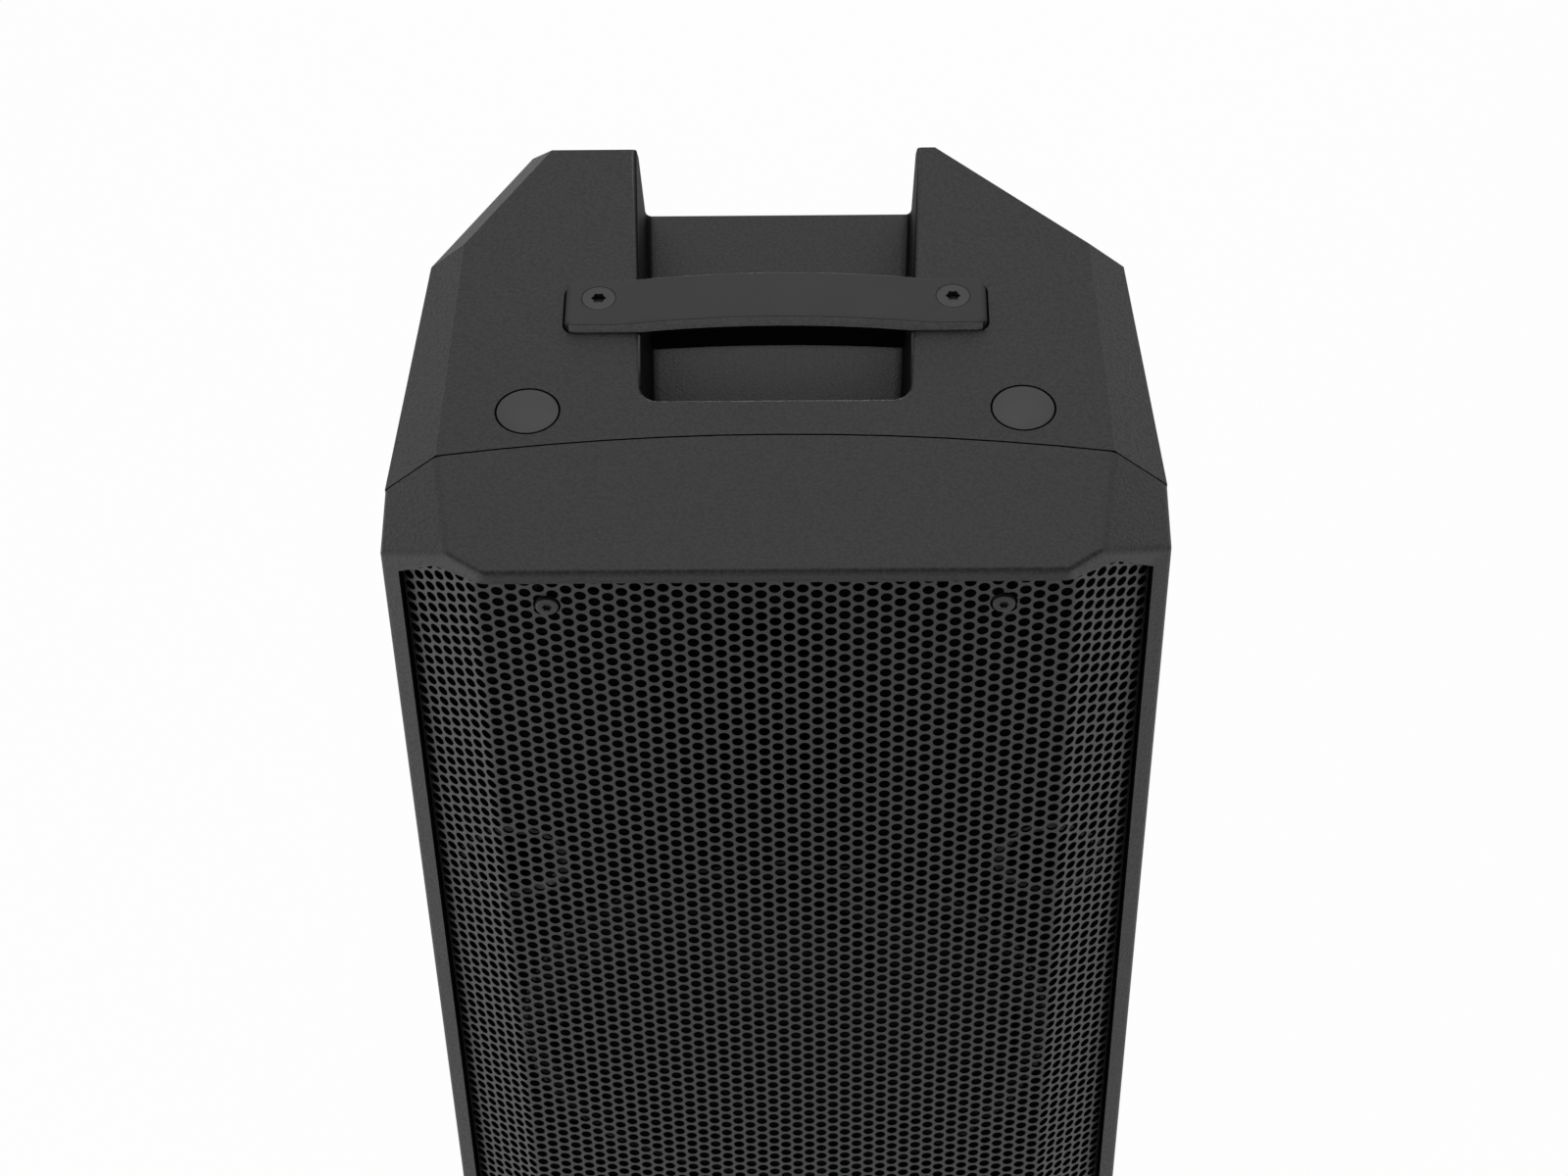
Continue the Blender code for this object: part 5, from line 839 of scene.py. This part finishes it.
def painted_shadow_mat():
    """Thin near-black mat on the pocket's floor under the strap, painted shadow of the strap; its ends climb
    the fillets.
    """
    bm = bmesh.new()
    centre = Matrix.Translation((0, (MAT_FRONT + MAT_REAR) / 2, POCKET_Z + MAT_THICKNESS / 2))
    size = Matrix.Diagonal((2 * MAT_HALF, MAT_REAR - MAT_FRONT, MAT_THICKNESS, 1))
    bmesh.ops.create_cube(bm, size=1, matrix=centre @ size)
    corners = [edge for edge in bm.edges if abs(edge.verts[0].co.z - edge.verts[1].co.z) > MAT_THICKNESS / 2]
    bmesh.ops.bevel(bm, geom=corners, offset=MAT_CORNER, offset_type="OFFSET", segments=5, profile=0.5,
                    affect="EDGES", clamp_overlap=True, material=-1)
    for step in range(1, 2 * MAT_SLICES):
        bmesh.ops.bisect_plane(bm, geom=bm.verts[:] + bm.edges[:] + bm.faces[:], plane_no=(1, 0, 0),
                               plane_co=(MAT_HALF * (step / MAT_SLICES - 1), 0, 0))
    for step in range(1, MAT_ROWS):
        bmesh.ops.bisect_plane(bm, geom=bm.verts[:] + bm.edges[:] + bm.faces[:], plane_no=(0, 1, 0),
                               plane_co=(0, MAT_FRONT + (MAT_REAR - MAT_FRONT) * step / MAT_ROWS, 0))
    for vertex in bm.verts:
        share = (MAT_REAR - vertex.co.y) / (MAT_REAR - MAT_FRONT)
        vertex.co.y -= MAT_FRONT_BOW * (vertex.co.x / MAT_HALF) ** 2 * share
        along = (vertex.co.y - POCKET_FRONT) / (POCKET_REAR - POCKET_FRONT)
        flat = POCKET_FLOOR[0] + (POCKET_FLOOR[1] - POCKET_FLOOR[0]) * along - POCKET_FILLET
        past = min(max(0.0, abs(vertex.co.x) - flat), POCKET_FILLET)
        vertex.co.z += POCKET_FILLET - math.sqrt(POCKET_FILLET ** 2 - past ** 2)
    add_piece("pocket_painted_shadow_mat", bm, SHADOW_MAT_BLACK)


def pads_and_feet():
    """Domed pads on the top, feet and the stand socket in the base."""
    for node in PADS:
        low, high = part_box(node)
        radius = (high.x - low.x) / 2
        rise = high.z - TOP_Z
        profile = [(0, low.z), (radius, low.z), (radius, TOP_Z - 0.0004)]
        for step in range(PAD_STEPS + 1):
            share = step / PAD_STEPS
            profile.append((radius * (PAD_FACE - PAD_FACE * share), TOP_Z + rise * (1 - (1 - share) ** 2)))
        # The pads' paler rubber is painted light
        add_piece(node.replace("top_pad", "rubber_pad"), place(turned(profile, 72), upright(middle(node))),
                  PAD_RUBBER_LIGHT, stands_for=[node])
    for node in sorted(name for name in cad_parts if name.startswith("base_foot")):
        low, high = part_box(node)
        radius = (high.x - low.x) / 2
        profile = [(0, 0.0006), (radius * 0.30, 0.0006), (radius * 0.36, 0), (radius * 0.78, 0),
                   (radius * 0.84, 0.0004), (radius * 0.88, 0.0013), (radius, high.z), (0, high.z)]
        add_piece(node.replace("base_foot", "rubber_foot"), place(turned(profile, 56), upright(middle(node))),
                  PAD_RUBBER_LIGHT, stands_for=[node])
    low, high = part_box("pole_cup")
    flange = (high.x - low.x) / 2
    profile = [(0, high.z - STAND_WALL), (STAND_BORE, high.z - STAND_WALL), (STAND_BORE, low.z + 0.0012),
               (STAND_BORE + 0.0012, low.z), (flange - 0.001, low.z), (flange, low.z + 0.001),
               (flange, low.z + STAND_WALL), (STAND_TUBE, low.z + STAND_WALL), (STAND_TUBE, high.z),
               (0, high.z)]
    add_piece("stand_socket", place(turned(profile, 72), upright(middle("pole_cup"))), CAST_ALUMINIUM,
              stands_for=["pole_cup"])


def ring_sector(profile, index, count, steps):
    """One sector of a ring spun from a closed profile."""
    bm = bmesh.new()
    start = Matrix.Rotation(2 * math.pi * index / count, 4, "Z")
    points = [bm.verts.new(start @ Vector((radius, 0, height))) for radius, height in profile]
    edges = [bm.edges.new(pair) for pair in zip(points, points[1:] + points[:1])]
    bmesh.ops.spin(bm, geom=points + edges, cent=(0, 0, 0), axis=(0, 0, 1), angle=2 * math.pi / count,
                   steps=steps)
    bmesh.ops.holes_fill(bm, edges=[edge for edge in bm.edges if edge.is_boundary])
    bmesh.ops.recalc_face_normals(bm, faces=bm.faces)
    return bm


def soft_ring(name, node, profile, count, steps, material, axis):
    """A ring spun in sectors and baked in place, attached to no body."""
    for index in range(count):
        bm = place(ring_sector(profile, index, count, steps), axis)
        piece = add_piece("%s_%02d" % (name, index), bm, material, body=None, stands_for=[node])
        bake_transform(piece)


def cone_height(share):
    """Height of the bowed cone's front at a share of the way from its neck to its edge."""
    return CONE_FRONT - CONE_DEPTH + CONE_DEPTH * share - 4 * CONE_BOW * share * (1 - share)


def cone_and_cap(axis):
    """Paper cone and the dust cap on it."""
    front = []
    for step in range(CONE_STEPS + 1):
        share = step / CONE_STEPS
        front.append((CONE_NECK + (CONE_EDGE - CONE_NECK) * share, cone_height(share)))
    slope = math.hypot(1, CONE_DEPTH / (CONE_EDGE - CONE_NECK))
    back = [(radius, height - CONE_SHEET * slope) for radius, height in reversed(front)]
    add_piece("paper_cone", place(turned(back + front, 96), axis), PAPER, body="woofer_moving",
              stands_for=["woofer_cone"])
    rim = cone_height((CAP_RADIUS - CONE_NECK) / (CONE_EDGE - CONE_NECK)) + CAP_LIFT
    crown = []
    for step in range(CAP_STEPS + 1):
        turn = step / CAP_STEPS * math.pi / 2
        crown.append((CAP_RADIUS * math.sin(turn), rim + CAP_HEIGHT * math.cos(turn)))
    hollow = [(radius * (1 - CONE_SHEET / CAP_RADIUS), height - CONE_SHEET) for radius, height in crown]
    hollow[-1] = (CAP_RADIUS - CONE_SHEET, rim)
    add_piece("dust_cap", place(turned(crown + list(reversed(hollow)), 72), axis), PAPER,
              body="woofer_moving", stands_for=["woofer_dust_cap"])


def woofer():
    """Cone, dust cap and basket, with the surround and the spider as flexible rings."""
    axis = facing_front(0, BAFFLE_Y, middle("woofer_basket").z)
    cone_and_cap(axis)
    foot = CONE_FRONT + GLUE
    start = CONE_EDGE + GLUE
    under = [(SURROUND_IN, foot)]
    for step in range(ROLL_STEPS + 1):
        share = step / ROLL_STEPS
        roll = ROLL_HEIGHT * abs(math.sin(2 * math.pi * share))
        under.append((start + (BASKET_MOUTH - start) * share, foot + (SURROUND_LIP - foot) * share + roll))
    under.append((SURROUND_OUT, SURROUND_LIP))
    profile = under + [(radius, height + SURROUND_SHEET) for radius, height in reversed(under)]
    soft_ring("surround", "woofer_surround", profile, SURROUND_SECTORS, 6, CLOTH,
              axis)
    under = []
    for step in range(SPIDER_STEPS + 1):
        share = step / SPIDER_STEPS
        wave = SPIDER_WAVE * (1 - math.cos(6 * math.pi * share)) / 2
        under.append((SPIDER_IN + (SPIDER_OUT - SPIDER_IN) * share, SPIDER_BACK - wave))
    under.append((SPIDER_LIP, SPIDER_BACK))
    profile = under + [(radius, height + SPIDER_SHEET) for radius, height in reversed(under)]
    soft_ring("spider", "woofer_spider", profile, SPIDER_SECTORS, 8, SPIDER_CLOTH,
              axis)
    finished_copy("woofer_frame", "woofer_basket", PAINTED_STEEL)


def horn_and_ports():
    """Horn and bass ports in the shapes of their solids."""
    # Painted shade: the horn behind the grille is flat black.
    finished_copy("horn_flare", "horn_waveguide", PAINTED_SHADE_BLACK)
    finished_copy("port_tube_left", "bass_port_left", ABS)
    finished_copy("port_tube_right", "bass_port_right", ABS)


def small_screw(x, z, face, radius):
    """A pan-head screw on the rear panel."""
    profile = [(0, face), (radius, face), (radius, face + radius * 0.35),
               (radius * 0.85, face + radius * 0.62), (radius * 0.6, face + radius * 0.72)]
    bm = recessed_head(profile, radius * 0.52, lambda turn: radius * (0.38 + 0.05 * math.cos(6 * turn)),
                       radius * 0.5, 24)
    return place(bm, facing_rear(x, 0, z))


def rear_panel():
    """Amplifier plate with its screws and dial marks, and the heat sink."""
    finished_copy("amp_plate", "amp_panel", PAINTED_ALUMINIUM, edge=0.0004)
    finished_copy("finned_heatsink", "amp_heatsink", PAINTED_ALUMINIUM, edge=0.0003)
    bm = bmesh.new()
    for x in (PANEL_LOW.x + PANEL_INSET, PANEL_HIGH.x - PANEL_INSET):
        for step in range(SIDE_SCREWS):
            run = PANEL_HIGH.z - PANEL_LOW.z - 2 * PANEL_INSET
            z = PANEL_LOW.z + PANEL_INSET + run * step / (SIDE_SCREWS - 1)
            join(bm, small_screw(x, z, PANEL_FACE, PANEL_SCREW))
    for node in SOCKETS:
        low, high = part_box(node)
        for x, z in ((low.x + SOCKET_INSET[0], high.z - SOCKET_INSET[1]),
                     (high.x - SOCKET_INSET[0], low.z + SOCKET_INSET[1])):
            join(bm, small_screw(x, z, high.y, SOCKET_SCREW))
    add_piece("panel_screws", bm, BLACK_STEEL)
    bm = bmesh.new()
    for node in KNOBS:
        centre = middle(node)
        for step in range(TICK_COUNT):
            turn = -TICK_SWEEP / 2 + TICK_SWEEP * step / (TICK_COUNT - 1)
            mark = (Matrix.Translation((centre.x, PANEL_FACE + TICK_SIZE[1] / 2, centre.z))
                    @ Matrix.Rotation(turn, 4, "Y") @ Matrix.Translation((0, 0, TICK_RADIUS))
                    @ Matrix.Diagonal((*TICK_SIZE, 1)))
            bmesh.ops.create_cube(bm, size=1, matrix=mark)
    add_piece("dial_marks", bm, INK)


def mains_inlet():
    """Mains inlet with its three bare pins."""
    inlet = finished_copy("mains_inlet_shell", "mains_inlet", ABS, edge=0.0004)
    inlet.data.materials.append(CONTACT)
    low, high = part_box("mains_inlet")
    for face in inlet.data.polygons:
        x = face.center.x - (low.x + high.x) / 2
        z = face.center.z - (low.z + high.z) / 2
        on_pin = any(abs(x - pin_x) < INLET_PIN_HALF[0] and abs(z + pin_z) < INLET_PIN_HALF[1]
                     for pin_x, pin_z in INLET_PINS)
        if on_pin and low.y + INLET_PIN_ENDS[0] < face.center.y < high.y - INLET_PIN_ENDS[1]:
            face.material_index = 1


def sockets():
    """Signal sockets with their contact inserts, latches and the mains inlet."""
    for node in SOCKETS:
        finished_copy(node + "_shell", node, ABS, edge=0.0003)
        centre = middle(node)
        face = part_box(node)[1].y
        insert = place(turned(INSERT_PROFILE, 40), facing_rear(centre.x, face, centre.z))
        add_piece(node + "_insert", insert, ABS)
        bm = bmesh.new()
        for turn in CONTACT_TURNS:
            x = centre.x + CONTACT_CIRCLE * math.cos(math.radians(turn))
            z = centre.z - CONTACT_CIRCLE * math.sin(math.radians(turn))
            contact = turned(PIN_PROFILE if node == "link_socket" else SLEEVE_PROFILE, 20)
            join(bm, place(contact, facing_rear(x, face, z)))
        add_piece(node + "_contacts", bm, CONTACT)
    for node in ("input_latch_one", "input_latch_two"):
        finished_copy(node + "_tab", node, ABS, body=node, edge=0.0004)
    mains_inlet()


def knob(node):
    """A fluted knob with a pointer line."""
    low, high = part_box(node)
    centre = (low + high) / 2
    radius = (high.x - low.x) / 2
    foot, tip = PANEL_FACE + KNOB_LIFT, high.y
    profile = [(0, low.y), (KNOB_SHAFT, low.y), (KNOB_SHAFT, foot), (radius, foot), (radius, foot + 0.0012),
               (radius * 0.96, foot + 0.0016), (radius * 0.90, tip - 0.0012), (radius * 0.84, tip - 0.0004),
               (radius * 0.74, tip), (radius * 0.6, tip - 0.0003), (0, tip - 0.0003)]
    bm = turned(profile, KNOB_FLUTES * 6)
    for vertex in bm.verts:
        reach = math.hypot(vertex.co.x, vertex.co.y)
        if reach > radius * 0.83 and foot + 0.0014 < vertex.co.z < tip - 0.0008:
            turn = math.atan2(vertex.co.y, vertex.co.x)
            share = 1 - FLUTE_DEPTH * (1 + math.cos(KNOB_FLUTES * turn))
            vertex.co.x *= share
            vertex.co.y *= share
    place(bm, facing_rear(centre.x, 0, centre.z))
    add_piece(node + "_cap", bm, ABS, body=node, stands_for=[node])
    line = bmesh.new()
    spot = Matrix.Translation((centre.x, tip - 0.0002, centre.z + radius * 0.42))
    size = Matrix.Diagonal((0.0010, 0.0004, radius * 0.62, 1))
    bmesh.ops.create_cube(line, size=1, matrix=spot @ size)
    add_piece(node + "_pointer", line, INK, body=node, edge=0.0001)


def knobs_and_switches():
    """Knobs, push buttons, the status lamp and the rocker switch."""
    for node in KNOBS:
        knob(node)
    for node in ("mode_button", "low_cut_button"):
        finished_copy(node + "_cap", node, ABS, body=node, edge=0.0006)
    low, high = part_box("status_lamp")
    centre = (low + high) / 2
    radius = (high.x - low.x) / 2
    profile = [(0, low.y), (radius, low.y), (radius, PANEL_FACE)]
    for step in range(1, LENS_STEPS + 1):
        turn = step / LENS_STEPS * math.pi / 2
        profile.append((radius * math.cos(turn), PANEL_FACE + (high.y - PANEL_FACE) * math.sin(turn)))
    bm = place(turned(profile, 40), facing_rear(centre.x, 0, centre.z))
    add_piece("status_lens", bm, LAMP, stands_for=["status_lamp"])
    finished_copy("switch_bezel", "mains_switch_frame", ABS, edge=0.0004)
    finished_copy("rocker_key", "mains_rocker", ABS, body="mains_rocker", edge=0.0007)


def inner_nodes():
    """Solids that stay as they are inside the cabinet, each with its own finish."""
    finishes = {"woofer_top_plate": PLATED_STEEL, "woofer_back_plate": PLATED_STEEL, "woofer_magnet": FERRITE,
                "woofer_voice_coil": COPPER, "compression_driver": PLATED_STEEL, "driver_cover": ABS,
                "amp_board": BOARD, "power_board": BOARD, "control_board": BOARD,
                "damping_pad_left": FOAM, "damping_pad_right": FOAM}
    for node, material in finishes.items():
        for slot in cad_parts[node].material_slots:
            slot.material = material


def white_share(tree, reflected):
    """How far a ray meets plain white: wholly when seen directly, by the given share in a reflection."""
    path = add_node(tree, "ShaderNodeLightPath").outputs
    glossy = add_node(tree, "ShaderNodeMath", {0: path["Is Glossy Ray"], 1: reflected}, operation="MULTIPLY")
    clear = add_node(tree, "ShaderNodeMath", {0: path["Is Camera Ray"], 1: path["Is Transmission Ray"]},
                     operation="MAXIMUM")
    seen = add_node(tree, "ShaderNodeMath", {0: clear.outputs[0], 1: glossy.outputs[0]}, operation="MAXIMUM")
    return seen.outputs[0]


def studio_floor():
    """White paper floor; reflections meet a greyer stretch of it in front of the object."""
    material = bpy.data.materials.new("white_studio_paper")
    material.use_nodes = True
    tree = material.node_tree
    tree.nodes.clear()
    where = add_node(tree, "ShaderNodeSeparateXYZ",
                     {0: add_node(tree, "ShaderNodeTexCoord").outputs["Object"]})
    depth = add_node(tree, "ShaderNodeMapRange", {"Value": where.outputs[1], "From Min": CARD_REAR[0],
                                                  "From Max": CARD_REAR[1], "To Min": FLOOR_FRONT},
                     interpolation_type="SMOOTHSTEP")
    aside = add_node(tree, "ShaderNodeMath", {0: where.outputs[0]}, operation="ABSOLUTE")
    beside = add_node(tree, "ShaderNodeMapRange", {"Value": aside.outputs[0], "From Min": CARD_SIDE[0],
                                                   "From Max": CARD_SIDE[1]}, interpolation_type="SMOOTHSTEP")
    card = add_node(tree, "ShaderNodeMath", {0: depth.outputs[0], 1: beside.outputs[0]}, operation="MAXIMUM")
    share = add_node(tree, "ShaderNodeMath", {0: white_share(tree, card.outputs[0]), 1: FLOOR_WHITE},
                     operation="MULTIPLY")
    paper = add_node(tree, "ShaderNodeBsdfDiffuse", {"Color": linear("#e8e8e8")})
    white = add_node(tree, "ShaderNodeEmission", {"Color": linear("#ffffff"), "Strength": 1.0})
    mixed = add_node(tree, "ShaderNodeMixShader",
                     {0: share.outputs[0], 1: paper.outputs[0], 2: white.outputs[0]})
    add_node(tree, "ShaderNodeOutputMaterial", {"Surface": mixed.outputs[0]})
    bm = bmesh.new()
    bmesh.ops.create_grid(bm, x_segments=1, y_segments=1, size=FLOOR_REACH)
    mesh = bpy.data.meshes.new("studio_floor")
    bm.to_mesh(mesh)
    bm.free()
    mesh.materials.append(material)
    floor = bpy.data.objects.new("studio_floor", mesh)
    bpy.context.scene.collection.objects.link(floor)


def studio_cloth():
    """White cloth behind and above the object; in front of it reflections meet the dim room."""
    world = bpy.data.worlds.new("white_studio")
    bpy.context.scene.world = world
    world.use_nodes = True
    tree = world.node_tree
    tree.nodes.clear()
    way = add_node(tree, "ShaderNodeSeparateXYZ",
                   {0: add_node(tree, "ShaderNodeTexCoord").outputs["Generated"]})
    cloth = add_node(tree, "ShaderNodeMapRange", {"Value": way.outputs[1], "From Min": CLOTH_EDGE[0],
                                                  "From Max": CLOTH_EDGE[1], "To Max": BACKDROP_WHITE},
                     interpolation_type="SMOOTHSTEP")
    room = add_node(tree, "ShaderNodeBackground", {"Color": linear("#ffffff"), "Strength": ROOM_LIGHT})
    white = add_node(tree, "ShaderNodeBackground", {"Color": linear("#ffffff"), "Strength": 1.0})
    mixed = add_node(tree, "ShaderNodeMixShader",
                     {0: white_share(tree, cloth.outputs[0]), 1: room.outputs[0], 2: white.outputs[0]})
    add_node(tree, "ShaderNodeOutputWorld", {"Surface": mixed.outputs[0]})


def studio_lamps():
    """Soft square lamps above, at both sides, in front and behind."""
    for name, (spot, size, power) in LAMPS.items():
        light = bpy.data.lights.new(name, "AREA")
        light.shape = "SQUARE"
        light.size = size
        light.energy = power
        lamp = bpy.data.objects.new(name, light)
        lamp.location = spot
        aim = Vector((0, 0, TOP_Z * LAMP_AIM)) - Vector(spot)
        lamp.rotation_euler = aim.to_track_quat("-Z", "Y").to_euler()
        bpy.context.scene.collection.objects.link(lamp)


def camera():
    view = bpy.data.cameras.new("photo_view")
    view.lens = CAMERA_LENS
    view.sensor_width = CAMERA_SENSOR
    seat = bpy.data.objects.new("photo_view", view)
    seat.location = CAMERA_PLACE
    seat.rotation_euler = Euler([math.radians(turn) for turn in CAMERA_TURN], "XYZ")
    bpy.context.scene.collection.objects.link(seat)
    bpy.context.scene.camera = seat
    bpy.context.scene.view_settings.view_transform = "Standard"


camera()
studio_floor()
studio_cloth()
studio_lamps()
cabinet_mouldings()
perforated_grille()
fasteners()
strap()
painted_shadow_mat()
pads_and_feet()
woofer()
horn_and_ports()
rear_panel()
sockets()
knobs_and_switches()
inner_nodes()
bpy.context.view_layer.update()
